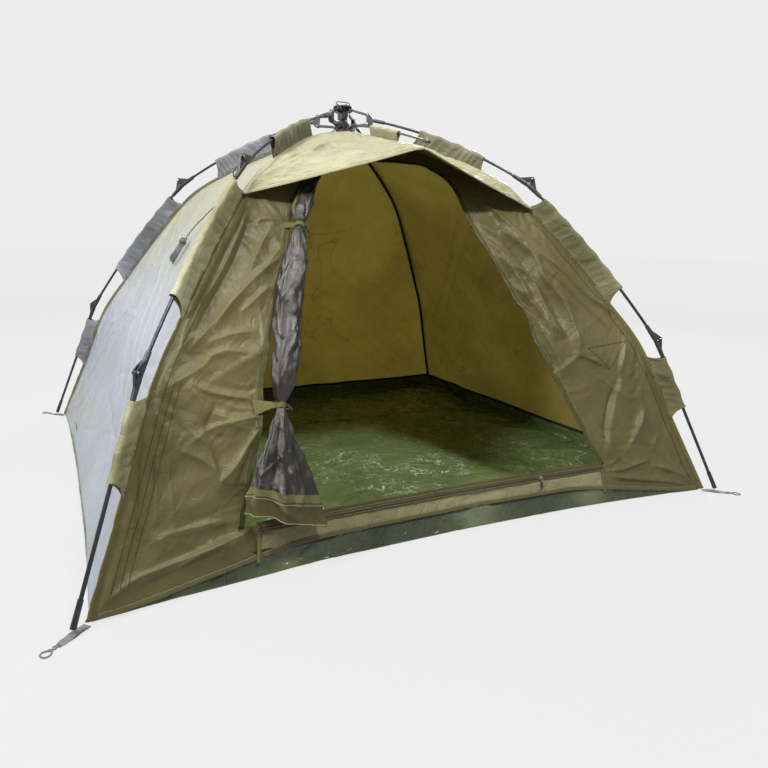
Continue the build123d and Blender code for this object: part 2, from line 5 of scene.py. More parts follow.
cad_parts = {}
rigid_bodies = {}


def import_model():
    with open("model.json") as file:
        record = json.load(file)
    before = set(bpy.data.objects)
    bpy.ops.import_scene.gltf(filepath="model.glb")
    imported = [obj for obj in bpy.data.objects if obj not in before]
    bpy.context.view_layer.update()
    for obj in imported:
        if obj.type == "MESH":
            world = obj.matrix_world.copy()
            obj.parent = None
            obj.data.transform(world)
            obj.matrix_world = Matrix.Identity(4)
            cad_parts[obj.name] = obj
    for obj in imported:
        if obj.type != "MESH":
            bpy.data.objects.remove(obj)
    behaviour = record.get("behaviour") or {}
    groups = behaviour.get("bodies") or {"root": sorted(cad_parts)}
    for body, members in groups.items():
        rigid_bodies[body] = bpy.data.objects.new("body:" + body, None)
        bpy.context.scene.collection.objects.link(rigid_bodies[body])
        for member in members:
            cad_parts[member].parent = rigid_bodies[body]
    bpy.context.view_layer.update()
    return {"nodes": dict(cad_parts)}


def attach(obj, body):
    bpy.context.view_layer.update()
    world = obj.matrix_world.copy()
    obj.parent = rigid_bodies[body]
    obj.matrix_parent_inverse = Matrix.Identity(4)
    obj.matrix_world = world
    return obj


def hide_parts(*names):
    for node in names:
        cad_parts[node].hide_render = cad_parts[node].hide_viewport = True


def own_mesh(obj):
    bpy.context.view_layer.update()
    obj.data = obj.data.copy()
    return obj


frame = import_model()
NODES = frame["nodes"]
scene = bpy.context.scene
ROOT = "tent_body"

# ------------------------------------------------------------------ camera
def set_camera():
    cam = bpy.data.cameras.new("camera")
    ob = bpy.data.objects.new("camera", cam)
    scene.collection.objects.link(ob)
    y, p, r = 0.4643, 0.2088, 0.0237
    fwd = Vector((math.sin(y) * math.cos(p), math.cos(y) * math.cos(p), -math.sin(p)))
    right = Vector((math.cos(y), -math.sin(y), 0))
    up = right.cross(fwd)
    r2 = right * math.cos(r) + up * math.sin(r)
    u2 = -right * math.sin(r) + up * math.cos(r)
    m = Matrix((r2, u2, -fwd)).transposed().to_4x4()
    m.translation = Vector((-1.0385, -2.3763, 0.8555))
    ob.matrix_world = m
    cam.sensor_width = 36
    cam.lens = 646.7 / 768 * 36
    cam.shift_x = (384 - 372.6) / 768
    cam.shift_y = (376.9 - 384) / 768
    cam.clip_start, cam.clip_end = 0.05, 60
    scene.camera = ob


set_camera()

# ------------------------------------------------------------------ dimensions, as in the CAD, in metres
FOOT_X, FOOT_Y = 1.050, 0.975
R_FOOT = math.hypot(FOOT_X, FOOT_Y)
CA, SA = FOOT_X / R_FOOT, FOOT_Y / R_FOOT
ROOT_P, ELBOW_1, ELBOW_2, FOOT = (0.112, 1.2915), (0.700, 1.060), (1.178, 0.532), (1.430, 0.0092)
TUBE_R = (0.0044, 0.00475, 0.0050)
LEGS = {"front_left": (-1, -1), "front_right": (1, -1), "back_left": (-1, 1), "back_right": (1, 1)}


class Arc2:
    def __init__(self, p, q, half_deg):
        length = math.dist(p, q)
        self.chord = math.atan2(q[1] - p[1], q[0] - p[0])
        self.h = math.radians(half_deg)
        self.radius = length / 2 / math.sin(self.h)
        a = self.chord + self.h
        self.c = (p[0] + self.radius * math.sin(a), p[1] - self.radius * math.cos(a))
        self.length = 2 * self.radius * self.h

    def angle(self, s):
        return self.chord + self.h - s / self.radius

    def point(self, s, out=0.0):
        a = self.angle(s)
        rr = self.radius + out
        return (self.c[0] - rr * math.sin(a), self.c[1] + rr * math.cos(a))

    def s_at_r(self, r):
        lo, hi = 0.0, self.length
        for _ in range(50):
            mid = (lo + hi) / 2
            if self.point(mid)[0] < r:
                lo = mid
            else:
                hi = mid
        return lo


class Line2:
    def __init__(self, p, q):
        self.p = p
        self.a = math.atan2(q[1] - p[1], q[0] - p[0])
        self.length = math.dist(p, q)

    def angle(self, s):
        return self.a

    def point(self, s, out=0.0):
        return (self.p[0] + s * math.cos(self.a) - out * math.sin(self.a),
                self.p[1] + s * math.sin(self.a) + out * math.cos(self.a))

    def s_at_r(self, r):
        return (r - self.p[0]) / math.cos(self.a)


ARC_1, ARC_2, LINE_3 = Arc2(ROOT_P, ELBOW_1, 10), Arc2(ELBOW_1, ELBOW_2, 6), Line2(ELBOW_2, FOOT)
SEAM_IN = 0.065


def refine(pts, n):
    ends = [(2 * pts[0][0] - pts[1][0], pts[1][1])] + pts + [(2 * pts[-1][0] - pts[-2][0], 2 * pts[-1][1] - pts[-2][1])]
    out = []
    for p0, p1, p2, p3 in zip(ends, ends[1:], ends[2:], ends[3:]):
        for i in range(n):
            t = i / n
            out.append(tuple(0.5 * (2 * b + (c - a) * t + (2 * a - 5 * b + 4 * c - d) * t * t + (3 * b - a - 3 * c + d) * t ** 3)
                             for a, b, c, d in zip(p0, p1, p2, p3)))
    return out + [pts[-1]]


_sp = [(0.0, 1.238), (0.045, 1.2356)]
_sp += [ARC_1.point(ARC_1.length * f, -SEAM_IN) for f in (0.0, 0.3, 0.65)]
_sp += [(ELBOW_1[0] - 0.038, ELBOW_1[1] - 0.0525)]
_sp += [ARC_2.point(ARC_2.length * f, -SEAM_IN) for f in (0.35, 0.7)]
_sp += [(ELBOW_2[0] - 0.053, ELBOW_2[1] - 0.030)]
_sp += [LINE_3.point(LINE_3.length * 0.45, -0.055), (1.335, 0.0949), (1.3815, 0.006)]
SEAM = np.array(refine(_sp, 12))
ZR, ZZ = SEAM[::-1, 1], SEAM[::-1, 0]


def seam_r(z):
    return np.interp(z, ZR, ZZ)


BOW = {"front": 0.066, "back": 0.040, "side": 0.012}


def bow(z, most):
    f = np.clip(1 - np.asarray(z, float) / 0.6, 0, None)
    return most * f * f


def profile(k):
    """Unrolled distance down a panel's middle against the seam's r and z."""
    d = np.hypot(np.diff(SEAM[:, 0]) * k, np.diff(SEAM[:, 1]))
    return np.concatenate([[0], np.cumsum(d)])


PROF = {"y": profile(SA), "x": profile(CA)}

# side name: (axis, sign, bow)
SIDES = {"front": ("y", -1, BOW["front"]), "back": ("y", 1, BOW["back"]),
         "left": ("x", -1, BOW["side"]), "right": ("x", 1, BOW["side"])}


def surface(side, lat, v):
    """Points of a canopy side, from lateral distance and unrolled distance down it."""
    axis, sign, most = SIDES[side]
    pr = PROF[axis]
    r, z = np.interp(v, pr, SEAM[:, 0]), np.interp(v, pr, SEAM[:, 1])
    k, w = (SA, CA) if axis == "y" else (CA, SA)
    u = np.clip(lat / np.maximum(w * r, 1e-6), -1, 1)
    # the cloth is stretched between its corner seams, so its middle pulls in a little
    pull = 0.012 * np.clip(r / 0.8, 0, 1) * np.clip((z - 0.1) / 0.3, 0, 1)
    d = k * r - (bow(z, most) + pull) * (1 - u * u)
    return np.stack([lat, sign * d, z], -1) if axis == "y" else np.stack([sign * d, lat, z], -1)


def v_of_z(side, z):
    pr = PROF[SIDES[side][0]]
    return np.interp(-np.asarray(z, float), -SEAM[:, 1], pr)


def normals(side, lat, v):
    e = 0.004
    a = surface(side, lat + e, v) - surface(side, lat - e, v)
    b = surface(side, lat, v + e) - surface(side, lat, v - e)
    n = np.cross(a, b)
    n /= np.maximum(np.linalg.norm(n, axis=-1, keepdims=True), 1e-9)
    axis, sign, _ = SIDES[side]
    comp = n[..., 1] * sign if axis == "y" else n[..., 0] * sign
    n *= np.where(comp + n[..., 2] * 0.5 >= 0, 1, -1)[..., None]
    return n


def leg_point(name, r, z, t=0.0):
    sx, sy = LEGS[name]
    ux, uy = sx * CA, sy * SA
    return np.array([r * ux + t * uy, r * uy - t * ux, z])


# ------------------------------------------------------------------ mesh helpers
def new_mesh(name, verts, faces, mats, body=ROOT, smooth=True, mat_index=None):
    me = bpy.data.meshes.new(name)
    me.from_pydata([tuple(map(float, v)) for v in verts], [], [tuple(int(i) for i in f) for f in faces])
    me.validate()
    me.update()
    if smooth:
        me.polygons.foreach_set("use_smooth", [True] * len(me.polygons))
    ob = bpy.data.objects.new(name, me)
    scene.collection.objects.link(ob)
    for m in (mats if isinstance(mats, (list, tuple)) else [mats]):
        me.materials.append(m)
    if mat_index is not None:
        me.polygons.foreach_set("material_index", mat_index)
    return ob


def grid_faces(nu, nv, close_u=False, start=0):
    f = []
    m = nu if close_u else nu - 1
    for j in range(nv - 1):
        for i in range(m):
            a, b = j * nu + i, j * nu + (i + 1) % nu
            f.append((start + a, start + b, start + b + nu, start + a + nu))
    return f


def apply_mods(ob):
    deps = bpy.context.evaluated_depsgraph_get()
    me = bpy.data.meshes.new_from_object(ob.evaluated_get(deps))
    old = ob.data
    ob.modifiers.clear()
    ob.data = me
    bpy.data.meshes.remove(old)
    return ob


def solidify(ob, thick, offset=-1.0, inner_mat=0, rim_mat=0):
    m = ob.modifiers.new("thick", "SOLIDIFY")
    m.thickness, m.offset = thick, offset
    m.material_offset, m.material_offset_rim = inner_mat, rim_mat
    m.use_even_offset = False
    return apply_mods(ob)


def outward(ob, ref=(0, 0, 0.4)):
    """Makes an open sheet's faces look away from a point inside."""
    me = ob.data
    c = Vector(ref)
    total = sum((Vector(p.center) - c).dot(p.normal) * p.area for p in me.polygons)
    if total < 0:
        me.flip_normals()
    return ob


def fix_normals(ob):
    bm = bmesh.new()
    bm.from_mesh(ob.data)
    bmesh.ops.recalc_face_normals(bm, faces=bm.faces)
    bm.to_mesh(ob.data)
    bm.free()
    return ob


def soft(ob):
    """A piece of the cloth: it rides on the tent's body."""
    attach(ob, ROOT)
    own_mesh(ob)
    return ob


def frames_along(P, up0=(0, 0, 1)):
    """Parallel-transported frames along a line of points."""
    P = np.asarray(P, float)
    T = np.gradient(P, axis=0)
    T /= np.linalg.norm(T, axis=1, keepdims=True)
    n = np.array(up0, float)
    n -= T[0] * (n @ T[0])
    if np.linalg.norm(n) < 1e-3:
        n = np.array([1.0, 0, 0]) - T[0] * T[0][0]
    n /= np.linalg.norm(n)
    N = [n]
    for t in T[1:]:
        n = N[-1] - t * (N[-1] @ t)
        n /= np.linalg.norm(n)
        N.append(n)
    N = np.array(N)
    return T, N, np.cross(T, N)


def sweep(name, P, section, mats, up0=(0, 0, 1), closed=True, cap=True, scale=None, smooth=True, twist=None, N=None):
    """A cross-section (across, up) carried along a line of points."""
    P = np.asarray(P, float)
    T, N0, B0 = frames_along(P, up0)
    if N is not None:
        N0 = np.asarray(N, float)
        N0 = N0 - T * np.sum(N0 * T, 1, keepdims=True)
        N0 /= np.linalg.norm(N0, axis=1, keepdims=True)
        B0 = np.cross(T, N0)
    section = np.asarray(section, float)
    vs = []
    for i in range(len(P)):
        s = section if scale is None else section * np.asarray(scale[i])
        if twist is not None:
            c, d = math.cos(twist[i]), math.sin(twist[i])
            s = s @ np.array([[c, d], [-d, c]])
        vs.append(P[i] + s[:, :1] * B0[i] + s[:, 1:] * N0[i])
    vs = np.concatenate(vs)
    k = len(section)
    faces = grid_faces(k, len(P), close_u=closed)
    if cap and closed:
        faces.append(tuple(range(k - 1, -1, -1)))
        faces.append(tuple(range((len(P) - 1) * k, len(P) * k)))
    ob = new_mesh(name, vs, faces, mats, smooth=smooth)
    return fix_normals(ob) if closed else ob


def ring(r, n=12):
    a = np.linspace(0, 2 * np.pi, n, endpoint=False)
    return np.stack([np.cos(a) * r, np.sin(a) * r], 1)


def rect(w, h, rnd=0.0):
    if rnd <= 0:
        return np.array([(-w / 2, -h / 2), (w / 2, -h / 2), (w / 2, h / 2), (-w / 2, h / 2)])
    pts = []
    for cx, cy, a0 in ((w / 2 - rnd, -h / 2 + rnd, -90), (w / 2 - rnd, h / 2 - rnd, 0), (-w / 2 + rnd, h / 2 - rnd, 90), (-w / 2 + rnd, -h / 2 + rnd, 180)):
        for k in range(4):
            a = math.radians(a0 + 30 * k)
            pts.append((cx + rnd * math.cos(a), cy + rnd * math.sin(a)))
    return np.array(pts)


def join(obs, name):
    mats, verts, faces, idx = [], [], [], []
    for o in obs:
        local = []
        for m in o.data.materials:
            if m not in mats:
                mats.append(m)
            local.append(mats.index(m))
        base = len(verts)
        verts += [tuple(v.co) for v in o.data.vertices]
        for p in o.data.polygons:
            faces.append(tuple(base + i for i in p.vertices))
            idx.append(local[p.material_index] if local else 0)
    sm = [p.use_smooth for o in obs for p in o.data.polygons]
    for o in obs:
        me = o.data
        bpy.data.objects.remove(o)
        bpy.data.meshes.remove(me)
    ob = new_mesh(name, verts, faces, mats, smooth=False, mat_index=idx)
    ob.data.polygons.foreach_set("use_smooth", sm)
    return ob


# ------------------------------------------------------------------ wrinkles
def noise2(x, y, seed, scale):
    """Smooth value noise in the plane."""
    rng = np.random.default_rng(seed)
    g = rng.standard_normal((64, 64))
    x, y = np.asarray(x) / scale + 17.3, np.asarray(y) / scale + 9.7
    xi, yi = np.floor(x).astype(int), np.floor(y).astype(int)
    fx, fy = x - xi, y - yi
    fx, fy = fx * fx * (3 - 2 * fx), fy * fy * (3 - 2 * fy)
    a, b = g[xi % 64, yi % 64], g[(xi + 1) % 64, yi % 64]
    c, d = g[xi % 64, (yi + 1) % 64], g[(xi + 1) % 64, (yi + 1) % 64]
    return (a * (1 - fx) + b * fx) * (1 - fy) + (c * (1 - fx) + d * fx) * fy


def creases(x, y, seed, n, lo, hi, length=(0.06, 0.3), amp=(0.0006, 0.002), width=(0.004, 0.010), angle=None, spread=1.6):
    """Packing creases: many short soft folds, some up and some down."""
    rng = np.random.default_rng(seed)
    out = np.zeros_like(x)
    for _ in range(n):
        cx, cy = rng.uniform(lo[0], hi[0]), rng.uniform(lo[1], hi[1])
        a = rng.uniform(0, math.pi) if angle is None else rng.normal(angle, spread)
        L, w = rng.uniform(*length), rng.uniform(*width)
        A = rng.uniform(*amp) * rng.choice([-1, 1])
        bend = rng.normal(0, 0.6)
        dx, dy = x - cx, y - cy
        s = dx * math.cos(a) + dy * math.sin(a)
        near = np.abs(s) < L
        if not near.any():
            continue
        t = -dx * math.sin(a) + dy * math.cos(a) - bend * s * s
        e = np.exp(-(t / w) ** 2) * np.clip(1 - (s / L) ** 2, 0, 1)
        out += np.where(near, A * e, 0)
    return out


def fan(x, y, cx, cy, a0, half, n, reach, amp, seed, start=0.015):
    """Folds that spread from a point that pulls on the cloth. a0 is the way they run, in degrees."""
    rng = np.random.default_rng(seed)
    dx, dy = x - cx, y - cy
    rho = np.hypot(dx, dy)
    th = np.arctan2(dy, dx) - math.radians(a0)
    th = (th + np.pi) % (2 * np.pi) - np.pi
    out = np.zeros_like(x)
    hw = math.radians(half)
    for i in range(n):
        c = -hw + 2 * hw * (i + 0.5 + rng.uniform(-0.3, 0.3)) / n
        L = reach * rng.uniform(0.55, 1.1)
        A = amp * rng.uniform(0.5, 1.1) * (1 if rng.random() < 0.72 else -0.7)
        w0 = rng.uniform(0.006, 0.011)
        t = rho * np.sin(th - c)
        fw = rho * np.cos(th - c)
        w = w0 + 0.035 * np.clip(rho, 0, 1)
        e = np.exp(-(t / w) ** 2) * np.clip((fw - start * 0.3) / 0.05, 0, 1) * np.clip(1 - fw / L, 0, 1) ** 0.8
        out += np.where(fw > 0, A * e, 0)
    return out


def line_folds(x, y, p, q, n, gap, amp, seed, width=0.012, wander=0.02):
    """Long folds side by side along the line from p to q."""
    rng = np.random.default_rng(seed)
    p, q = np.array(p, float), np.array(q, float)
    L = np.linalg.norm(q - p)
    d = (q - p) / L
    s = (x - p[0]) * d[0] + (y - p[1]) * d[1]
    t = -(x - p[0]) * d[1] + (y - p[1]) * d[0]
    out = np.zeros_like(x)
    for i in range(n):
        c = (i - (n - 1) / 2) * gap + rng.normal(0, gap * 0.2)
        s0, s1 = rng.uniform(-0.05, 0.25) * L, rng.uniform(0.75, 1.05) * L
        A = amp * rng.uniform(0.5, 1.1) * (1 if rng.random() < 0.7 else -0.6)
        w = width * rng.uniform(0.7, 1.4)
        ph = rng.uniform(0, 6.28)
        tt = t - c - wander * np.sin(s / L * 4.0 + ph)
        e = np.exp(-(tt / w) ** 2) * np.clip((s - s0) / 0.08, 0, 1) * np.clip((s1 - s) / 0.12, 0, 1)
        out += A * e
    return out


# ------------------------------------------------------------------ materials
class Mat:
    """A small node-tree writer."""

    def __init__(self, name):
        self.m = bpy.data.materials.new(name)
        self.m.use_nodes = True
        self.nt = self.m.node_tree
        self.nt.nodes.clear()
        self.out = self.nt.nodes.new("ShaderNodeOutputMaterial")
        self.bsdf = self.nt.nodes.new("ShaderNodeBsdfPrincipled")
        self.link(self.bsdf.outputs[0], self.out.inputs[0])
        self.coord = None

    def link(self, a, b):
        self.nt.links.new(a, b)

    def node(self, kind, **kw):
        n = self.nt.nodes.new(kind)
        for k, v in kw.items():
            if hasattr(n, k):
                setattr(n, k, v)
        return n

    def pos(self, scale=(1, 1, 1), rot=(0, 0, 0)):
        if self.coord is None:
            self.coord = self.node("ShaderNodeTexCoord")
        mp = self.node("ShaderNodeMapping")
        mp.inputs["Scale"].default_value = scale
        mp.inputs["Rotation"].default_value = rot
        self.link(self.coord.outputs["Object"], mp.inputs[0])
        return mp.outputs[0]

    def noise(self, scale, detail=3, rough=0.55, vec=None, distortion=0.0):
        n = self.node("ShaderNodeTexNoise")
        n.inputs["Scale"].default_value = scale
        n.inputs["Detail"].default_value = detail
        n.inputs["Roughness"].default_value = rough
        n.inputs["Distortion"].default_value = distortion
        self.link(vec or self.pos(), n.inputs["Vector"])
        return n.outputs["Fac"]

    def wave(self, scale, direction="X", vec=None, distortion=0.0, profile="SIN"):
        n = self.node("ShaderNodeTexWave")
        n.wave_type, n.bands_direction, n.wave_profile = "BANDS", direction, profile
        n.inputs["Scale"].default_value = scale
        n.inputs["Distortion"].default_value = distortion
        self.link(vec or self.pos(), n.inputs["Vector"])
        return n.outputs["Fac"]

    def ramp(self, fac, stops):
        n = self.node("ShaderNodeValToRGB")
        el = n.color_ramp.elements
        while len(el) > 1:
            el.remove(el[-1])
        el[0].position, el[0].color = stops[0][0], (*stops[0][1], 1)
        for p, c in stops[1:]:
            e = el.new(p)
            e.color = (*c, 1)
        self.link(fac, n.inputs[0])
        return n.outputs[0]

    def mix(self, a, b, fac, mode="MIX"):
        n = self.node("ShaderNodeMix")
        n.data_type, n.blend_type = "RGBA", mode
        if isinstance(fac, (int, float)):
            n.inputs[0].default_value = fac
        else:
            self.link(fac, n.inputs[0])
        for s, v in ((6, a), (7, b)):
            if isinstance(v, (tuple, list)):
                n.inputs[s].default_value = (*v, 1)
            else:
                self.link(v, n.inputs[s])
        return n.outputs[2]

    def math(self, op, a, b=0.0):
        n = self.node("ShaderNodeMath")
        n.operation = op
        for i, v in enumerate((a, b)):
            if isinstance(v, (int, float)):
                n.inputs[i].default_value = v
            else:
                self.link(v, n.inputs[i])
        return n.outputs[0]

    def maprange(self, v, a, b, c, d):
        n = self.node("ShaderNodeMapRange")
        for i, x in enumerate((a, b, c, d)):
            n.inputs[i + 1].default_value = x
        self.link(v, n.inputs[0])
        return n.outputs[0]

    def bump(self, height, strength, distance, prev=None):
        n = self.node("ShaderNodeBump")
        n.inputs["Strength"].default_value = strength
        n.inputs["Distance"].default_value = distance
        self.link(height, n.inputs["Height"])
        if prev is not None:
            self.link(prev, n.inputs["Normal"])
        return n.outputs[0]

    def set(self, **kw):
        for k, v in kw.items():
            s = self.bsdf.inputs[k.replace("_", " ")]
            if hasattr(v, "is_output") or isinstance(v, bpy.types.NodeSocket):
                self.link(v, s)
            elif isinstance(v, (tuple, list)):
                s.default_value = (*v, 1) if len(v) == 3 and s.type == "RGBA" else v
            else:
                s.default_value = v
        return self.m


def srgb(r, g, b):
    def f(c):
        c /= 255
        return c / 12.92 if c <= 0.04045 else ((c + 0.055) / 1.055) ** 2.4
    return (f(r), f(g), f(b))


def crinkle(m, amount=1.0, scale=1.0):
    """Fine crumples of coated cloth that has been packed small."""
    v = m.node("ShaderNodeTexVoronoi")
    v.feature = "DISTANCE_TO_EDGE"
    v.inputs["Scale"].default_value = 17 * scale
    warp = m.noise(9 * scale, 2, 0.5)
    w2 = m.node("ShaderNodeVectorMath")
    w2.operation = "MULTIPLY_ADD"
    comb = m.node("ShaderNodeCombineXYZ")
    for i in range(3):
        m.link(warp, comb.inputs[i])
    m.link(comb.outputs[0], w2.inputs[0])
    w2.inputs[1].default_value = (0.16, 0.16, 0.16)
    m.link(m.pos(), w2.inputs[2])
    m.link(w2.outputs[0], v.inputs["Vector"])
    edge = m.maprange(v.outputs["Distance"], 0.0, 0.10, 0.0, 1.0)
    low = m.noise(26 * scale, 3, 0.6, distortion=0.4)
    n = m.bump(edge, 0.30 * amount, 0.0022)
    return m.bump(low, 0.38 * amount, 0.006, n)


def fabric(name, base, dark, light, rough=0.5, sheen=0.15, weave=900, amount=1.0, through=0.0, through_color=None, spec=0.42, mottle=None, painted_crease_shade=0.0):
    m = Mat(name)
    big = m.noise(2.3, 3, 0.6)
    col = m.ramp(big, [(0.30, dark), (0.52, base), (0.72, light)])
    if mottle is not None:
        spots = m.noise(6.5, 6, 0.72, vec=m.pos((1.0, 1.0, 1.7)), distortion=1.4)
        fac = m.maprange(spots, 0.50, 0.60, 0.0, 0.85)
        col = m.mix(col, mottle, fac)
    # Painted crease shade: thin dark lines in the colour stand in for the shade that falls in the cloth's creases.
    if painted_crease_shade > 0:
        for sc, wd, seed in ((3.1, 0.010, 0.0), (6.5, 0.008, 1.1)):
            wob = m.noise(sc, 3, 0.5, vec=m.pos((1, 1, 1), (0.0, seed, 0.4)), distortion=0.8)
            ln = m.maprange(m.math("ABSOLUTE", m.math("SUBTRACT", wob, 0.5)), 0.001, wd, 1.0, 0.0)
            here = m.maprange(m.noise(2.2, 2, 0.5, vec=m.pos((1, 1, 1), (seed, 0.3, 0.0))), 0.42, 0.56, 0.0, 1.0)
            col = m.mix(col, m.mix(col, (0.52, 0.52, 0.50), 1.0, "MULTIPLY"), m.math("MULTIPLY", m.math("MULTIPLY", ln, here), painted_crease_shade))
    wv = m.math("MULTIPLY", m.wave(weave, "X", distortion=0.3), m.wave(weave, "Z", distortion=0.3))
    col = m.mix(col, m.mix(col, (0.86, 0.86, 0.86), 1.0, "MULTIPLY"), m.math("MULTIPLY", wv, 0.35))
    nrm = crinkle(m, amount)
    nrm = m.bump(wv, 0.12, 0.0004, nrm)
    r = m.maprange(m.noise(14, 3, 0.6), 0.3, 0.7, rough - 0.07, rough + 0.09)
    m.set(Base_Color=col, Roughness=r, Normal=nrm, Sheen_Weight=sheen, Sheen_Roughness=0.4, Specular_IOR_Level=spec)
    if through > 0:
        t = m.node("ShaderNodeBsdfTranslucent")
        m.link(col if through_color is None else (m.mix(through_color, m.mix(col, (3.6, 3.6, 3.6), 1.0, "MULTIPLY"), 0.55) if painted_crease_shade > 0 else m.mix(col, through_color, 0.75)), t.inputs["Color"])
        m.link(nrm, t.inputs["Normal"])
        mx = m.node("ShaderNodeMixShader")
        mx.inputs[0].default_value = through
        m.link(m.bsdf.outputs[0], mx.inputs[1])
        m.link(t.outputs[0], mx.inputs[2])
        m.link(mx.outputs[0], m.out.inputs[0])
    return m.m


OLIVE = srgb(87, 82, 52)
M_OUT = fabric("olive_cloth", OLIVE, srgb(82, 76, 44), srgb(99, 93, 58), rough=0.45, spec=0.28, sheen=0.0, amount=0.95, through=0.22, through_color=srgb(226, 212, 138))
M_IN = fabric("olive_cloth_inside", srgb(140, 131, 76), srgb(114, 106, 60), srgb(160, 151, 92), rough=0.62, amount=1.6, through=0.42, through_color=srgb(222, 208, 158), spec=0.2, sheen=0.0, painted_crease_shade=0.8)


def side_material():
    """Olive side cloth with painted glare: a pale bluish silver, warmer towards the top, with olive patches low down
    where the painted glare is weaker.
    """
    m = Mat("side_cloth_painted_glare")
    big = m.noise(2.0, 3, 0.6)
    # painted glare: pale bluish silver in place of the olive cloth
    glare_col = m.ramp(big, [(0.3, srgb(133, 139, 152)), (0.52, srgb(142, 147, 158)), (0.72, srgb(150, 154, 160))])
    weak_glare_col = m.ramp(big, [(0.3, srgb(132, 132, 112)), (0.72, srgb(148, 149, 132))])
    sep = m.node("ShaderNodeSeparateXYZ")
    m.link(m.pos(), sep.inputs[0])
    # the painted glare weakens towards the top
    h = m.math("ADD", sep.outputs["Z"], m.math("MULTIPLY", m.noise(4.0, 3, 0.6), 0.35))
    col = m.mix(glare_col, weak_glare_col, m.maprange(h, 0.72, 1.12, 0.0, 1.0))
    # olive patches low down, where the painted glare is weaker and the cloth's own olive shows
    spots = m.noise(9.0, 6, 0.72, vec=m.pos((1.0, 1.0, 0.40)), distortion=0.6)
    patch = m.noise(1.7, 2, 0.5, vec=m.pos((1.0, 1.0, 1.0), (0.0, 0.0, 0.0)))
    fac = m.math("MULTIPLY", m.maprange(spots, 0.50, 0.70, 0.0, 0.8), m.maprange(h, 0.42, 0.80, 1.0, 0.10))
    fac = m.math("MULTIPLY", fac, m.maprange(patch, 0.40, 0.58, 0.30, 1.0))
    col = m.mix(col, srgb(128, 128, 84), fac)
    wv = m.math("MULTIPLY", m.wave(900, "X", distortion=0.3), m.wave(900, "Z", distortion=0.3))
    col = m.mix(col, m.mix(col, (0.86, 0.86, 0.86), 1.0, "MULTIPLY"), m.math("MULTIPLY", wv, 0.3))
    nrm = m.bump(wv, 0.10, 0.0004, crinkle(m, 0.8))
    m.set(Base_Color=col, Roughness=m.maprange(m.noise(14, 3, 0.6), 0.3, 0.7, 0.38, 0.54), Normal=nrm, Specular_IOR_Level=0.35)
    t = m.node("ShaderNodeBsdfTranslucent")
    t.inputs["Color"].default_value = (0.62, 0.53, 0.24, 1)
    m.link(nrm, t.inputs["Normal"])
    mx = m.node("ShaderNodeMixShader")
    mx.inputs[0].default_value = 0.16
    m.link(m.bsdf.outputs[0], mx.inputs[1])
    m.link(t.outputs[0], mx.inputs[2])
    m.link(mx.outputs[0], m.out.inputs[0])
    return m.m


M_SIDE = side_material()
M_SIDE_IN = fabric("olive_cloth_side_inside", srgb(140, 131, 76), srgb(114, 106, 60), srgb(160, 151, 92), rough=0.62, amount=1.6, through=0.42, through_color=srgb(222, 208, 158), spec=0.2, sheen=0.0, painted_crease_shade=0.8)
# Painted light: the sill strip is the front cloth, given a paler colour as it looks where it faces up into the light.
M_SILL_PAINTED_LIGHT = fabric("sill_cloth_painted_light", srgb(116, 111, 80), srgb(100, 95, 66), srgb(132, 127, 96), rough=0.43, spec=0.32, sheen=0.0, amount=1.8, through=0.05, through_color=srgb(226, 212, 138))
# Painted light: the awning is the front's olive cloth, coloured pale cream as it looks lit from above at a grazing
# angle.
M_AWN_PAINTED_LIGHT = fabric("awning_cloth", srgb(138, 135, 106), srgb(124, 121, 92), srgb(152, 149, 120), rough=0.46, spec=0.25, through=0.10, through_color=srgb(140, 134, 66))
M_AWN_IN = fabric("awning_underside", srgb(74, 68, 38), srgb(66, 61, 33), srgb(84, 78, 46), rough=0.6, spec=0.12, sheen=0.0)
M_SLEEVE = fabric("sleeve_cloth", srgb(90, 87, 60), srgb(72, 69, 46), srgb(112, 109, 82), rough=0.48, amount=1.3, spec=0.2, sheen=0.0)
# Painted glare: a pale bluish grey copy of the sleeve cloth, for the back-left sleeves.
M_SLEEVE_PAINTED_GLARE = fabric("sleeve_cloth_painted_glare", srgb(108, 110, 116), srgb(72, 74, 78), srgb(146, 150, 160), rough=0.42, amount=1.3, spec=0.25, sheen=0.0)
M_SLEEVE_GREY = fabric("sleeve_cloth_grey", srgb(98, 96, 76), srgb(78, 76, 58), srgb(124, 121, 98), rough=0.48, amount=1.3, spec=0.2, sheen=0.0)
# Painted light: a paler copy of the sleeve cloth, coloured as the front-left sleeves look lit.
M_SLEEVE_PAINTED_LIT = fabric("sleeve_cloth_painted_lit", srgb(124, 121, 90), srgb(98, 94, 64), srgb(152, 150, 122), rough=0.46, amount=1.3, spec=0.25, sheen=0.0)
M_BIND = fabric("binding_tape", srgb(66, 61, 36), srgb(58, 54, 31), srgb(76, 71, 44), rough=0.7, weave=1400, amount=0.4, spec=0.12, sheen=0.0)
M_TAB = fabric("tie_tape", srgb(84, 83, 48), srgb(72, 71, 40), srgb(96, 94, 58), rough=0.7, weave=1200, amount=0.5, spec=0.12, sheen=0.0)


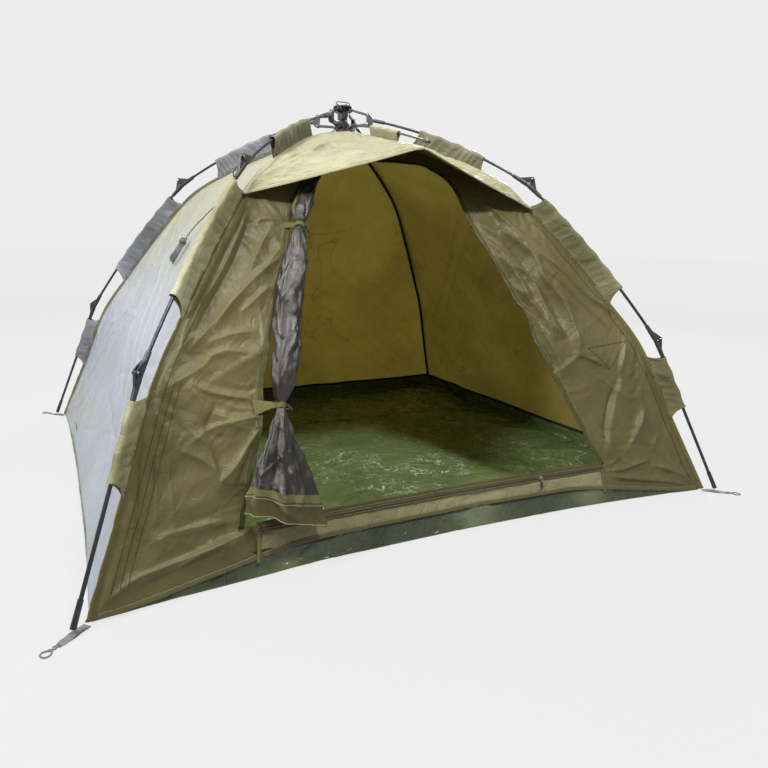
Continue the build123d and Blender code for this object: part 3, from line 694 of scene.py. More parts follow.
def floor_material():
    m = Mat("tub_sheet")
    big = m.noise(1.8, 4, 0.6)
    col = m.ramp(big, [(0.30, srgb(72, 90, 54)), (0.5, srgb(90, 108, 68)), (0.72, srgb(108, 127, 86))])
    v = m.node("ShaderNodeTexVoronoi")
    v.feature = "DISTANCE_TO_EDGE"
    v.inputs["Scale"].default_value = 8.0
    m.link(m.pos(), v.inputs["Vector"])
    edge = m.maprange(v.outputs["Distance"], 0.0, 0.12, 0.0, 1.0)
    # Painted glints: thin pale streaks laid into the colour, mostly on the front of the floor where the light falls.
    wob = m.noise(7.5, 4, 0.58, distortion=1.3)
    line = m.maprange(m.math("ABSOLUTE", m.math("SUBTRACT", wob, 0.5)), 0.0015, 0.0090, 1.0, 0.0)
    here = m.maprange(m.noise(3.6, 3, 0.6, vec=m.pos((1.0, 1.0, 1.0), (0.0, 0.0, 0.9))), 0.46, 0.55, 0.0, 1.0)
    line = m.math("MULTIPLY", line, here)
    sepf = m.node("ShaderNodeSeparateXYZ")
    m.link(m.pos(), sepf.inputs[0])
    # the painted glints fade towards the back of the floor
    line = m.math("MULTIPLY", line, m.maprange(sepf.outputs["Y"], -0.25, 0.15, 1.0, 0.15))
    col = m.mix(col, (0.74, 0.80, 0.72), m.math("MULTIPLY", line, 0.95))
    n = m.bump(edge, 0.22, 0.006)
    n = m.bump(m.noise(15, 4, 0.62, distortion=0.9), 0.75, 0.013, n)
    n = m.bump(m.noise(60, 3, 0.6), 0.25, 0.003, n)
    wv = m.math("MULTIPLY", m.wave(330, "X"), m.wave(330, "Y"))
    n = m.bump(wv, 0.10, 0.0006, n)
    m.set(Base_Color=col, Roughness=m.maprange(m.noise(11, 3), 0.3, 0.7, 0.20, 0.38), Normal=n, Specular_IOR_Level=0.55, Coat_Weight=0.30, Coat_Roughness=0.10)
    return m.m


def mesh_material(name, a, b, scale=520):
    """Fine net seen in many layers."""
    m = Mat(name)
    fold = m.noise(12, 4, 0.6)
    col = m.ramp(fold, [(0.28, a), (0.72, b)])
    net = m.math("MAXIMUM", m.wave(scale, "X", vec=m.pos(rot=(0, 0.8, 0))), m.wave(scale, "Z", vec=m.pos(rot=(0, 0.8, 0))))
    col = m.mix(col, m.mix(col, (0.55, 0.55, 0.55), 1.0, "MULTIPLY"), m.maprange(net, 0.3, 0.9, 0.7, 0.0))
    sepn = m.node("ShaderNodeSeparateXYZ")
    m.link(m.pos(), sepn.inputs[0])
    col = m.mix(col, m.mix(col, (0.45, 0.43, 0.40), 1.0, "MULTIPLY"), m.maprange(sepn.outputs["Z"], 0.28, 0.46, 1.0, 0.0))
    n = m.bump(net, 0.25, 0.0009)
    n = m.bump(m.noise(34, 4, 0.62), 0.55, 0.006, n)
    m.set(Base_Color=col, Roughness=m.maprange(m.noise(20, 3), 0.3, 0.7, 0.26, 0.40), Normal=n, Specular_IOR_Level=0.50)
    return m.m


def plastic(name, c, rough=0.38, grain=420, amount=0.25):
    m = Mat(name)
    t = m.noise(24, 4, 0.65)
    worn = m.maprange(m.noise(75, 3, 0.6), 0.55, 0.75, 0.0, 0.35)
    col = m.ramp(t, [(0.3, tuple(x * 0.8 for x in c)), (0.7, tuple(min(1, x * 1.25) for x in c))])
    col = m.mix(col, tuple(min(1, x * 2.2 + 0.02) for x in c), worn)
    n = m.bump(m.noise(grain, 2, 0.5), amount, 0.0005)
    n = m.bump(m.noise(40, 2), 0.08, 0.001, n)
    m.set(Base_Color=col, Roughness=m.maprange(t, 0.3, 0.7, rough - 0.05, rough + 0.12), Normal=n, Specular_IOR_Level=0.5)
    return m.m


def steel(name, c, rough=0.33, metallic=0.85):
    m = Mat(name)
    t = m.noise(30, 4, 0.6)
    scr = m.noise(400, 2, 0.6, vec=m.pos((1, 1, 0.05)))
    col = m.ramp(t, [(0.3, tuple(x * 0.75 for x in c)), (0.7, tuple(min(1, x * 1.3) for x in c))])
    col = m.mix(col, tuple(min(1, x * 3) for x in c), m.maprange(scr, 0.62, 0.8, 0.0, 0.3))
    m.set(Base_Color=col, Metallic=metallic, Roughness=m.maprange(scr, 0.3, 0.7, rough - 0.05, rough + 0.1), Normal=m.bump(scr, 0.08, 0.0003))
    return m.m


def cord_material(name, a, b, scale=900):
    m = Mat(name)
    v = m.node("ShaderNodeTexChecker")
    v.inputs["Scale"].default_value = scale
    m.link(m.pos((1, 1, 0.8), (0.7, 0.5, 0.3)), v.inputs["Vector"])
    col = m.mix(a, b, v.outputs["Fac"])
    m.set(Base_Color=col, Roughness=0.75, Normal=m.bump(v.outputs["Fac"], 0.3, 0.0005), Sheen_Weight=0.2)
    return m.m


def webbing_material(name, a, b):
    m = Mat(name)
    w = m.math("MULTIPLY", m.wave(330, "X", vec=m.pos(rot=(0, 0, 0.75))), m.wave(620, "Y", vec=m.pos(rot=(0, 0, 0.75))))
    col = m.mix(m.mix(a, b, w), tuple(x * 0.6 for x in a), m.maprange(m.noise(18, 4), 0.5, 0.75, 0, 0.5))
    n = m.bump(w, 0.5, 0.0008)
    n = m.bump(m.noise(45, 3), 0.4, 0.002, n)
    m.set(Base_Color=col, Roughness=0.78, Normal=n, Sheen_Weight=0.2)
    return m.m


M_FLOOR = floor_material()
# The ramp's pale stop is a painted highlight: lighter patches stand in for the sheet's glossy highlights.
M_TUB_OUT = fabric("tub_outside", srgb(56, 64, 37), srgb(30, 37, 20), srgb(104, 112, 82), rough=0.30, sheen=0.0, amount=2.4, spec=0.50)
M_MESH = mesh_material("door_net", srgb(20, 19, 16), srgb(54, 51, 43))
M_BLACK = plastic("black_moulding", srgb(34, 34, 36))
M_GREYP = plastic("grey_moulding", srgb(98, 99, 100), rough=0.42)
M_POLE = steel("dark_tube", srgb(62, 63, 68))
M_POLE_B = plastic("black_tube", srgb(40, 41, 44), rough=0.3, amount=0.1)
M_RIVET = steel("rivet_metal", srgb(160, 160, 162), rough=0.28, metallic=0.95)
M_ROD = plastic("strut_rod", srgb(54, 54, 55), rough=0.3, amount=0.1)
M_CORD = cord_material("guy_cord", srgb(36, 38, 36), srgb(88, 90, 84))
M_LOOP = cord_material("pull_cord", srgb(46, 48, 44), srgb(110, 112, 104))
M_WEB = webbing_material("grey_webbing", srgb(92, 91, 86), srgb(62, 61, 58))
M_ZIP = plastic("zip_coil", srgb(58, 55, 38), rough=0.45)
M_THREAD = cord_material("thread", srgb(88, 84, 50), srgb(126, 120, 80), 2400)


# ------------------------------------------------------------------ guy line
GUY_D = 0.0036


def on_left(y, z, out):
    return (-(float(seam_r(z)) * CA) - out, y, z)


def guy_points():
    pts = [tuple(leg_point("front_left", ELBOW_1[0] - 0.014, ELBOW_1[1] + 0.006, 0.011)),
           tuple(leg_point("front_left", ELBOW_1[0] - 0.010, ELBOW_1[1] - 0.012, 0.052)),
           on_left(-0.388, 1.010, 0.032), on_left(-0.320, 0.986, 0.014), on_left(-0.262, 0.962, 0.010),
           on_left(-0.206, 0.934, 0.010), on_left(-0.152, 0.900, 0.010), on_left(-0.108, 0.862, 0.011)]
    return [Vector(p) for p in pts]


def hank_points():
    """Turns of the hank, lying flat on the slope, fanned a little at the free end."""
    a, b = Vector(on_left(-0.106, 0.860, 0.011)), Vector(on_left(-0.126, 0.762, 0.011))
    run = (b - a).normalized()
    out = Vector((-1, 0, 0.75)).normalized()
    out = (out - run * out.dot(run)).normalized()
    side = run.cross(out).normalized()
    start = guy_points()[-1] + run * 0.014
    rng = np.random.default_rng(4)
    pts = []
    turns = 4
    for k in range(turns):
        half = (0.0115, 0.0128, 0.0121, 0.0135)[k]
        top, bot = (0.004 + 0.0015 * k), (0.104 - 0.0035 * k + rng.uniform(-0.002, 0.002))
        lean = (k - 1.5) * 0.0046
        # one long loop, its two ends round
        ends = []
        n_end = 5
        for i in range(n_end):
            t = math.pi * i / (n_end - 1)
            ends.append((bot - half + half * math.sin(t), half * math.cos(t) + lean * 1.6))
        for i in range(n_end):
            t = math.pi * i / (n_end - 1)
            ends.append((top + half - half * math.sin(t), -half * math.cos(t) + lean * 0.3))
        m1 = (0.5 * (top + bot), -half * 0.86 + lean)
        m2 = (0.5 * (top + bot), half * 0.86 + lean)
        seq = ends[:n_end] + [m1] + ends[n_end:] + ([m2] if k < turns - 1 else [])
        total = len(seq)
        for i, (along, across) in enumerate(seq):
            lift = 0.0042 * (k + i / total) - 0.0066
            pts.append(start + run * along + side * across + out * lift)
    return pts


def cord_curve(name, pts, radius, res=6):
    cu = bpy.data.curves.new(name, "CURVE")
    cu.dimensions = "3D"
    cu.resolution_u = res
    sp = cu.splines.new("NURBS")
    sp.points.add(len(pts) - 1)
    for p, v in zip(sp.points, pts):
        p.co = (*v, 1)
    sp.order_u = 3
    sp.use_endpoint_u = True
    ob = bpy.data.objects.new(name, cu)
    scene.collection.objects.link(ob)
    return ob


def curve_line(ob):
    """The points of a curve's own line."""
    deps = bpy.context.evaluated_depsgraph_get()
    me = bpy.data.meshes.new_from_object(ob.evaluated_get(deps))
    P = np.array([v.co for v in me.vertices], float)
    bpy.data.meshes.remove(me)
    return P


def rope(name, P, radius, mat, n=10, strands=0.12, pitch=0.011):
    """A braided cord: a tube whose skin winds."""
    T, N, B = frames_along(P)
    s = np.concatenate([[0], np.cumsum(np.linalg.norm(np.diff(P, axis=0), axis=1))])
    a = np.linspace(0, 2 * np.pi, n, endpoint=False)
    vs = []
    for i in range(len(P)):
        ph = 2 * np.pi * s[i] / pitch
        rr = radius * (1 - strands * 0.5 + strands * 0.5 * np.cos(2 * a - ph) * np.cos(2 * a + ph))
        vs.append(P[i] + (np.cos(a) * rr)[:, None] * B[i] + (np.sin(a) * rr)[:, None] * N[i])
    vs = np.concatenate(vs)
    faces = grid_faces(n, len(P), close_u=True)
    faces += [tuple(range(n - 1, -1, -1)), tuple(range((len(P) - 1) * n, len(P) * n))]
    return fix_normals(new_mesh(name, vs, faces, mat))


def make_guy():
    route = guy_points()
    lead = route[:-1] + [route[-1]]
    pts = lead + hank_points()
    cu = cord_curve("guy_route", pts, GUY_D / 2)
    P = curve_line(cu)
    bpy.data.objects.remove(cu)
    ob = rope("guy_line_cord", P, GUY_D / 2, M_CORD)
    # the tie that holds the hank, and the knot at the elbow
    a, b = Vector(on_left(-0.106, 0.860, 0.011)), Vector(on_left(-0.126, 0.762, 0.011))
    run = (b - a).normalized()
    out = Vector((-1, 0, 0.75)).normalized()
    out = (out - run * out.dot(run)).normalized()
    side = run.cross(out).normalized()
    c = guy_points()[-1] + run * 0.036
    t = np.linspace(0, 2 * np.pi * 3, 90)
    W = np.array([c + side * (0.0165 * math.cos(x)) + out * (0.0105 * math.sin(x) + 0.001) + run * (0.0036 * x / (2 * math.pi) - 0.005) for x in t])
    tie = rope("guy_line_tie", W, 0.0014, M_CORD, n=8, pitch=0.008)
    k0 = route[0]
    d = (route[1] - route[0]).normalized()
    u = d.cross(Vector((0, 0, 1))).normalized()
    w = d.cross(u)
    t = np.linspace(0, 2 * np.pi * 2.5, 80)
    K = np.array([k0 + u * (0.0052 * math.cos(x)) + w * (0.0052 * math.sin(x)) + d * (0.004 * x / (2 * math.pi) + 0.001) for x in t])
    knot = rope("guy_line_knot", K, 0.0017, M_CORD, n=8, pitch=0.008)
    for o in (ob, tie, knot):
        soft(o)
    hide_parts("guy_line", "guy_line_hank")


make_guy()


# ------------------------------------------------------------------ canopy
DOOR = [(-0.644, 0.132), (-0.613, 0.246), (-0.582, 0.345), (-0.563, 0.420), (-0.553, 0.489), (-0.522, 0.586),
        (-0.477, 0.687), (-0.438, 0.794), (-0.400, 0.890), (-0.356, 0.975), (-0.285, 1.045), (-0.190, 1.088),
        (-0.040, 1.118), (0.110, 1.128), (0.198, 1.118), (0.238, 1.060), (0.246, 0.979), (0.270, 0.880),
        (0.303, 0.805), (0.330, 0.740), (0.345, 0.687), (0.374, 0.609), (0.389, 0.531), (0.423, 0.451),
        (0.465, 0.368), (0.508, 0.284), (0.553, 0.199), (0.596, 0.132)]


def smooth_line(pts, n=16):
    pts = [np.array(p, float) for p in pts]
    ends = [2 * pts[0] - pts[1]] + pts + [2 * pts[-1] - pts[-2]]
    out = []
    for p0, p1, p2, p3 in zip(ends, ends[1:], ends[2:], ends[3:]):
        for i in range(n):
            t = i / n
            out.append(0.5 * (2 * p1 + (p2 - p0) * t + (2 * p0 - 5 * p1 + 4 * p2 - p3) * t * t + (3 * p1 - p0 - 3 * p2 + p3) * t ** 3))
    return np.array(out + [pts[-1]])


def facets(x, y, seed, scale, angle=0.0, stretch=1.0):
    """Crumples: flat facets that meet in sharp lines, longer one way than the other."""
    c, d = math.cos(angle), math.sin(angle)
    a, b = (x * c + y * d) / stretch, -x * d + y * c
    n = noise2(a, b, seed, scale)
    m = noise2(a + 0.3 * scale * n, b, seed + 500, scale * 0.55)
    return 0.62 - np.abs(n) + 0.45 * (0.55 - np.abs(m))


def poly_fold(x, y, pts, amp, w1, w2):
    """One fold along a line of points, steep on one side and soft on the other."""
    P = np.array(pts, float)
    seg = np.diff(P, axis=0)
    ln = np.hypot(seg[:, 0], seg[:, 1])
    cum = np.concatenate([[0], np.cumsum(ln)])
    reach = 5 * max(w1, w2)
    lo, hi = P.min(0) - reach, P.max(0) + reach
    m = (x > lo[0]) & (x < hi[0]) & (y > lo[1]) & (y < hi[1])
    out = np.zeros_like(x)
    if not m.any():
        return out
    xx, yy = x[m], y[m]
    best, side, along = np.full(xx.shape, 9.0), np.zeros(xx.shape), np.zeros(xx.shape)
    for k in range(len(seg)):
        dx, dy = xx - P[k, 0], yy - P[k, 1]
        t = np.clip((dx * seg[k, 0] + dy * seg[k, 1]) / ln[k] ** 2, 0, 1)
        ex, ey = dx - t * seg[k, 0], dy - t * seg[k, 1]
        d = np.hypot(ex, ey)
        near = d < best
        best = np.where(near, d, best)
        side = np.where(near, seg[k, 0] * dy - seg[k, 1] * dx, side)
        along = np.where(near, cum[k] + t * ln[k], along)
    r = np.sqrt(best ** 2 + 0.0016 ** 2) - 0.0016
    e = np.exp(-r / np.where(side > 0, w1, w2))
    L = cum[-1]
    e *= np.clip(along / 0.05, 0.0, 1) ** 0.6 * np.clip((L - along) / 0.06, 0, 1) ** 0.6
    out[m] = amp * e
    return out


# folds of the front, (lateral, height) down each, with height and widths of the fold
FRONT_FOLDS = [
    (0.0075, 0.010, 0.040, [(-0.560, 0.392), (-0.647, 0.288), (-0.694, 0.247), (-0.669, 0.205)]),
    (-0.0050, 0.009, 0.020, [(-0.575, 0.360), (-0.625, 0.280), (-0.655, 0.225)]),
    (0.0065, 0.008, 0.022, [(-0.560, 0.396), (-0.663, 0.408), (-0.703, 0.433), (-0.749, 0.494)]),
    (0.0060, 0.008, 0.022, [(-0.560, 0.400), (-0.692, 0.386), (-0.768, 0.345)]),
    (0.0080, 0.008, 0.034, [(-0.620, 0.126), (-0.787, 0.093), (-0.919, 0.070), (-1.000, 0.020)]),
    (-0.0050, 0.008, 0.020, [(-0.690, 0.095), (-0.800, 0.072), (-0.930, 0.040)]),
    (0.0050, 0.010, 0.024, [(-0.687, 0.162), (-0.811, 0.156), (-0.871, 0.140)]),
    (0.0040, 0.006, 0.020, [(-0.797, 0.417), (-0.812, 0.311), (-0.811, 0.156)]),
    (0.0036, 0.006, 0.016, [(-0.833, 0.353), (-0.856, 0.174)]),
    (0.0040, 0.006, 0.016, [(-0.852, 0.466), (-0.877, 0.292), (-0.892, 0.172)]),
    (0.0060, 0.007, 0.024, [(-0.545, 0.550), (-0.655, 0.563), (-0.713, 0.529), (-0.821, 0.478)]),
    (0.0055, 0.008, 0.022, [(-0.700, 0.618), (-0.772, 0.558), (-0.831, 0.479)]),
    (-0.0050, 0.007, 0.016, [(-0.680, 0.446), (-0.713, 0.383), (-0.679, 0.349)]),
    (0.0045, 0.007, 0.020, [(-0.681, 0.111), (-0.756, 0.096), (-0.860, 0.050)]),
    (0.0045, 0.006, 0.012, [(-0.869, 0.167), (-0.834, 0.127)]),
    (0.0055, 0.007, 0.020, [(-0.748, 0.497), (-0.689, 0.467), (-0.585, 0.443)]),
    (0.0050, 0.008, 0.020, [(-0.694, 0.247), (-0.712, 0.338), (-0.759, 0.388)]),
    (0.0045, 0.007, 0.018, [(-0.793, 0.348), (-0.716, 0.298), (-0.694, 0.254)]),
    (0.0040, 0.006, 0.016, [(-0.926, 0.271), (-0.954, 0.211), (-0.995, 0.084)]),
    (0.0035, 0.006, 0.014, [(-0.869, 0.482), (-0.937, 0.300)]),
    (0.0090, 0.010, 0.036, [(-0.500, 0.975), (-0.546, 0.886), (-0.602, 0.813), (-0.657, 0.733), (-0.715, 0.649), (-0.758, 0.578)]),
    (-0.0070, 0.012, 0.022, [(-0.515, 0.905), (-0.568, 0.813), (-0.622, 0.735), (-0.678, 0.662), (-0.720, 0.600)]),
    (0.0055, 0.007, 0.018, [(-0.523, 0.919), (-0.579, 0.823), (-0.635, 0.743), (-0.691, 0.677)]),
    (0.0050, 0.006, 0.016, [(-0.456, 0.884), (-0.517, 0.803), (-0.543, 0.757)]),
    (0.0060, 0.008, 0.022, [(-0.449, 0.798), (-0.528, 0.747), (-0.603, 0.684), (-0.665, 0.620)]),
    (0.0050, 0.007, 0.018, [(-0.492, 0.722), (-0.588, 0.655)]),
    (0.0055, 0.008, 0.020, [(-0.588, 0.713), (-0.663, 0.633), (-0.742, 0.564)]),
    (0.0045, 0.006, 0.018, [(-0.545, 0.612), (-0.617, 0.604), (-0.690, 0.584)]),
    (0.0050, 0.006, 0.014, [(-0.430, 0.835), (-0.509, 0.762)]),
    (0.0050, 0.006, 0.016, [(-0.400, 0.900), (-0.470, 0.905), (-0.530, 0.870)]),
    # the right of the opening
    (0.0095, 0.010, 0.034, [(0.330, 0.985), (0.365, 0.951), (0.425, 0.870), (0.499, 0.808), (0.568, 0.754), (0.633, 0.684), (0.733, 0.620)]),
    (0.0130, 0.012, 0.038, [(0.350, 0.900), (0.452, 0.816), (0.471, 0.739), (0.510, 0.685), (0.539, 0.610), (0.543, 0.480)]),
    (-0.0080, 0.010, 0.024, [(0.335, 0.880), (0.420, 0.795), (0.446, 0.718), (0.485, 0.650), (0.512, 0.560)]),
    (0.0100, 0.010, 0.024, [(0.285, 0.920), (0.343, 0.860), (0.379, 0.830)]),
    (0.0110, 0.010, 0.026, [(0.295, 0.860), (0.352, 0.784), (0.412, 0.739), (0.436, 0.649), (0.451, 0.590), (0.493, 0.545)]),
    (0.0100, 0.009, 0.024, [(0.318, 0.810), (0.370, 0.732), (0.386, 0.672), (0.417, 0.628), (0.452, 0.539)]),
    (-0.0080, 0.008, 0.016, [(0.322, 0.770), (0.360, 0.700), (0.385, 0.630), (0.420, 0.570)]),
    (0.0090, 0.009, 0.020, [(0.338, 0.735), (0.393, 0.665)]),
    (0.0090, 0.009, 0.020, [(0.352, 0.660), (0.400, 0.590), (0.440, 0.500), (0.470, 0.420)]),
    (-0.0060, 0.009, 0.018, [(0.372, 0.590), (0.415, 0.510), (0.450, 0.430)]),
    (0.0065, 0.008, 0.026, [(0.486, 0.777), (0.559, 0.708), (0.634, 0.637), (0.709, 0.567)]),
    (0.0050, 0.008, 0.022, [(0.647, 0.668), (0.765, 0.596), (0.836, 0.523)]),
    (0.0060, 0.008, 0.020, [(0.493, 0.693), (0.589, 0.631)]),
    (0.0070, 0.008, 0.022, [(0.543, 0.491), (0.662, 0.446)]),
    (0.0070, 0.008, 0.022, [(0.543, 0.491), (0.428, 0.438)]),
    (0.0075, 0.010, 0.036, [(0.713, 0.408), (0.671, 0.327), (0.641, 0.269), (0.614, 0.196), (0.600, 0.150)]),
    (-0.0050, 0.008, 0.020, [(0.690, 0.400), (0.645, 0.320), (0.615, 0.250), (0.595, 0.180)]),
    (0.0050, 0.007, 0.018, [(0.791, 0.349), (0.746, 0.337), (0.696, 0.356)]),
    (0.0055, 0.008, 0.022, [(0.791, 0.290), (0.733, 0.204), (0.684, 0.155)]),
    (0.0040, 0.007, 0.018, [(0.867, 0.211), (0.823, 0.176), (0.801, 0.143)]),
    (0.0055, 0.007, 0.018, [(0.600, 0.110), (0.667, 0.108), (0.735, 0.119), (0.803, 0.124)]),
    (0.0075, 0.008, 0.022, [(0.620, 0.092), (0.668, 0.080), (0.768, 0.062), (0.869, 0.045), (0.960, 0.022)]),
    (0.0055, 0.007, 0.018, [(0.800, 0.110), (0.886, 0.080), (0.975, 0.040)]),
    (0.0060, 0.008, 0.022, [(0.767, 0.544), (0.734, 0.472), (0.695, 0.409)]),
    (0.0055, 0.008, 0.022, [(0.811, 0.313), (0.776, 0.265), (0.729, 0.208)]),
    (0.0050, 0.007, 0.016, [(0.590, 0.120), (0.642, 0.144), (0.631, 0.172), (0.560, 0.300)]),
]


def lift(side, lat, v):
    """Height of the folds over a side, along its normal."""
    pr = PROF[SIDES[side][0]]
    w = (CA if SIDES[side][0] == "y" else SA)
    r = np.interp(v, pr, SEAM[:, 0])
    z = np.interp(v, pr, SEAM[:, 1])
    u = lat / np.maximum(w * r, 1e-5)
    V = lambda zz: float(v_of_z(side, zz))
    X = lambda zz: float(w * seam_r(zz))
    seed = {"front": 11, "back": 22, "left": 33, "right": 44}[side]
    vb = pr[-1]
    d = 0.0022 * noise2(lat, v, seed, 0.22)
    much = 1.0 if side == "front" else 0.62
    d += much * 0.0026 * facets(lat, v, seed + 1, 0.095, 0.6, 1.5) * np.clip(0.6 + 0.7 * noise2(lat, v, seed + 5, 0.30), 0.15, 1.5)
    d += much * (0.0019 if side == "front" else 0.0010) * facets(lat, v, seed + 2, 0.050, -0.7, 2.2) * np.clip(0.5 + 0.8 * noise2(lat, v, seed + 6, 0.22), 0.0, 1.6)
    d += creases(lat, v, seed + 3, 150, (-1.0, 0.1), (1.0, vb), amp=(0.0006, 0.0020), width=(0.003, 0.007))
    d += creases(lat, v, seed + 4, 50, (-1.0, 0.1), (1.0, vb), length=(0.15, 0.45), amp=(0.001, 0.0030), width=(0.006, 0.012))
    for s in (-1, 1):
        # the cloth is pulled where each sleeve ends and at the foot corners
        for zz, ang, half, n, reach, amp in ((1.01, 96, 34, 6, 0.45, 0.0042), (0.93, 62, 30, 5, 0.35, 0.0032),
                                             (0.53, 88, 30, 6, 0.40, 0.0042), (0.46, 50, 26, 5, 0.30, 0.0030),
                                             (0.26, 60, 30, 5, 0.30, 0.0028)):
            d += fan(lat, v, s * X(zz), V(zz), (180 - ang) if s > 0 else ang, half, n, reach, amp, seed + int(zz * 100) + (5 if s > 0 else 0))
        d += fan(lat, v, s * X(0.02), V(0.02), -128 if s > 0 else -52, 34, 8, 0.62, 0.0048, seed + 60 + s)
    if side == "front":
        for amp, w1, w2, pts in FRONT_FOLDS:
            line = smooth_line([(x, V(zz)) for x, zz in pts], 5)
            d += poly_fold(lat, v, line, amp * (1.7 if pts[0][0] < 0 else 2.0), w1 * 0.8, w2)
        # small crumples where the ties and the roll pull on the cloth
        for cx, cz, rad, a0 in ((-0.50, 0.86, 0.10, 0.9), (-0.60, 0.42, 0.13, 0.2), (0.38, 0.80, 0.13, -1.0), (0.44, 0.58, 0.13, -1.1), (-0.66, 0.16, 0.12, 0.0), (0.64, 0.14, 0.11, 0.1)):
            near = np.exp(-((lat - cx) ** 2 + (v - V(cz)) ** 2) / rad ** 2)
            d += 0.0036 * near * facets(lat, v, seed + int(1000 * abs(cx)), 0.045, a0, 2.4)
    elif side == "back":
        d += line_folds(lat, v, (-0.5, V(0.95)), (0.85, V(0.10)), 5, 0.09, 0.0035, 81)
        d += line_folds(lat, v, (0.5, V(0.95)), (-0.85, V(0.10)), 5, 0.09, 0.0035, 82)
    else:
        d += line_folds(lat, v, (-0.35, V(1.0)), (0.80, V(0.10)), 5, 0.085, 0.0032, 83 + seed)
        d += line_folds(lat, v, (0.35, V(1.0)), (-0.80, V(0.10)), 5, 0.085, 0.0032, 84 + seed)
    edge = np.clip((1 - np.abs(u)) * w * r / 0.030, 0, 1)
    top = np.clip((r - 0.05) / 0.10, 0, 1)
    foot = 0.35 + 0.65 * np.clip(z / 0.10, 0, 1)
    lo, hi = (-0.018, 0.024) if side == "front" else (-0.014, 0.019)
    return np.clip(d * edge * top * foot, lo, hi)


def hem_z(u, mid):
    t = np.clip((1 - np.abs(u)) / 0.60, 0, 1)
    return 0.006 + (mid - 0.006) * t * t * (3 - 2 * t)


FRONT_EDGE = {}


def make_front():
    pr = PROF["y"]
    v0 = float(np.interp(0.012, SEAM[:, 0], pr))
    c = np.array([-0.12, float(v_of_z("front", 0.60))])
    vv = np.linspace(v0, pr[-1], 300)
    rr = np.interp(vv, pr, SEAM[:, 0])
    right = np.stack([CA * rr, vv], 1)
    left = np.stack([-CA * rr, vv], 1)[::-1]
    ub = np.linspace(1, -1, 260)[1:-1]
    zb = hem_z(ub, 0.066)
    bottom = np.stack([ub * CA * seam_r(zb), v_of_z("front", zb)], 1)
    outer = np.concatenate([right, bottom, left])
    door = smooth_line(DOOR, 14)
    door_xy = np.stack([door[:, 0], v_of_z("front", door[:, 1])], 1)
    sill = np.stack([np.linspace(door_xy[-1, 0], door_xy[0, 0], 200)[1:-1], np.full(198, door_xy[0, 1])], 1)
    loop = np.concatenate([door_xy, sill])

    def polar(p):
        q = p - c
        return np.arctan2(q[:, 1], q[:, 0]), np.hypot(q[:, 0], q[:, 1])
    tl, rl = polar(loop)
    to, ro = polar(outer)
    corners = polar(np.array([door_xy[0], door_xy[-1]]))[0]
    th = np.sort(np.concatenate([to, corners]))
    th = th[np.concatenate([[True], np.diff(th) > 1e-5])]

    def rho(t, r, q):
        o = np.argsort(t)
        t, r = t[o], r[o]
        t = np.concatenate([t[-3:] - 2 * np.pi, t, t[:3] + 2 * np.pi])
        r = np.concatenate([r[-3:], r, r[:3]])
        return np.interp(q, t, r)
    a, b = rho(tl, rl, th), rho(to, ro, th)
    ts = np.linspace(0, 1, 150) ** 1.0
    R = a[None] + (b - a)[None] * ts[:, None]
    lat = c[0] + R * np.cos(th)[None]
    v = c[1] + R * np.sin(th)[None]
    w = CA * np.interp(v, pr, SEAM[:, 0])
    lat = np.clip(lat, -w, w)
    v = np.clip(v, v0, pr[-1])
    P = surface("front", lat, v)
    N = normals("front", lat, v)
    d = lift("front", lat, v)
    # beside the opening the cloth hangs free and turns in a little
    near = np.clip(1 - (ts * 1.0)[:, None] * (b - a)[None] / 0.06, 0, 1)
    d = d - 0.004 * near * near
    P = P + N * d[..., None]
    n = len(th)
    fc = grid_faces(n, len(ts), close_u=True)
    flat = P.reshape(-1, 3)
    mid = np.array([flat[list(q)].mean(0) for q in fc])
    idx = np.where((np.abs(mid[:, 0] + 0.008) < 0.60) & (mid[:, 2] < 0.128), 2, 0)
    ob = new_mesh("canopy_front_cloth", flat, fc, [M_OUT, M_IN, M_SILL_PAINTED_LIGHT, M_IN], mat_index=idx)
    outward(ob)
    solidify(ob, 0.0011, inner_mat=1)
    FRONT_EDGE["P"], FRONT_EDGE["N"], FRONT_EDGE["th"] = P[0], N[0], th
    FRONT_EDGE["corner"] = corners
    soft(ob)
    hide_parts("canopy_front")
    area = 0.5 * 2 * CA * R_FOOT * pr[-1] * 0.9
    return ob


def make_side(side):
    axis, sign, most = SIDES[side]
    pr = PROF[axis]
    w = CA if axis == "y" else SA
    v0 = float(np.interp(0.012, SEAM[:, 0], pr))
    nu, nv = 190, 200
    u = np.linspace(-1, 1, nu)
    mid = {"back": 0.055, "left": 0.030, "right": 0.030}[side]
    vb = v_of_z(side, hem_z(u, mid))
    t = np.linspace(0, 1, nv)
    v = v0 + (vb - v0)[None] * t[:, None]
    lat = u[None] * w * np.interp(v, pr, SEAM[:, 0])
    P = surface(side, lat, v)
    N = normals(side, lat, v)
    P = P + N * lift(side, lat, v)[..., None]
    mats = [M_SIDE, M_SIDE_IN] if side in ("left", "right") else [M_OUT, M_IN]
    ob = new_mesh(f"canopy_{side}_cloth", P.reshape(-1, 3), grid_faces(nu, nv), mats)
    outward(ob)
    solidify(ob, 0.0011, inner_mat=1)
    soft(ob)
    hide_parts(f"canopy_{side}")
    return ob


FRONT = make_front()
BACK, LEFT, RIGHT = make_side("back"), make_side("left"), make_side("right")


def leg_frame(name):
    """The leg plane's outward direction in plan, and the direction across it."""
    sx, sy = LEGS[name]
    u = np.array([sx * CA, sy * SA, 0.0])
    return u, np.array([u[1], -u[0], 0.0])


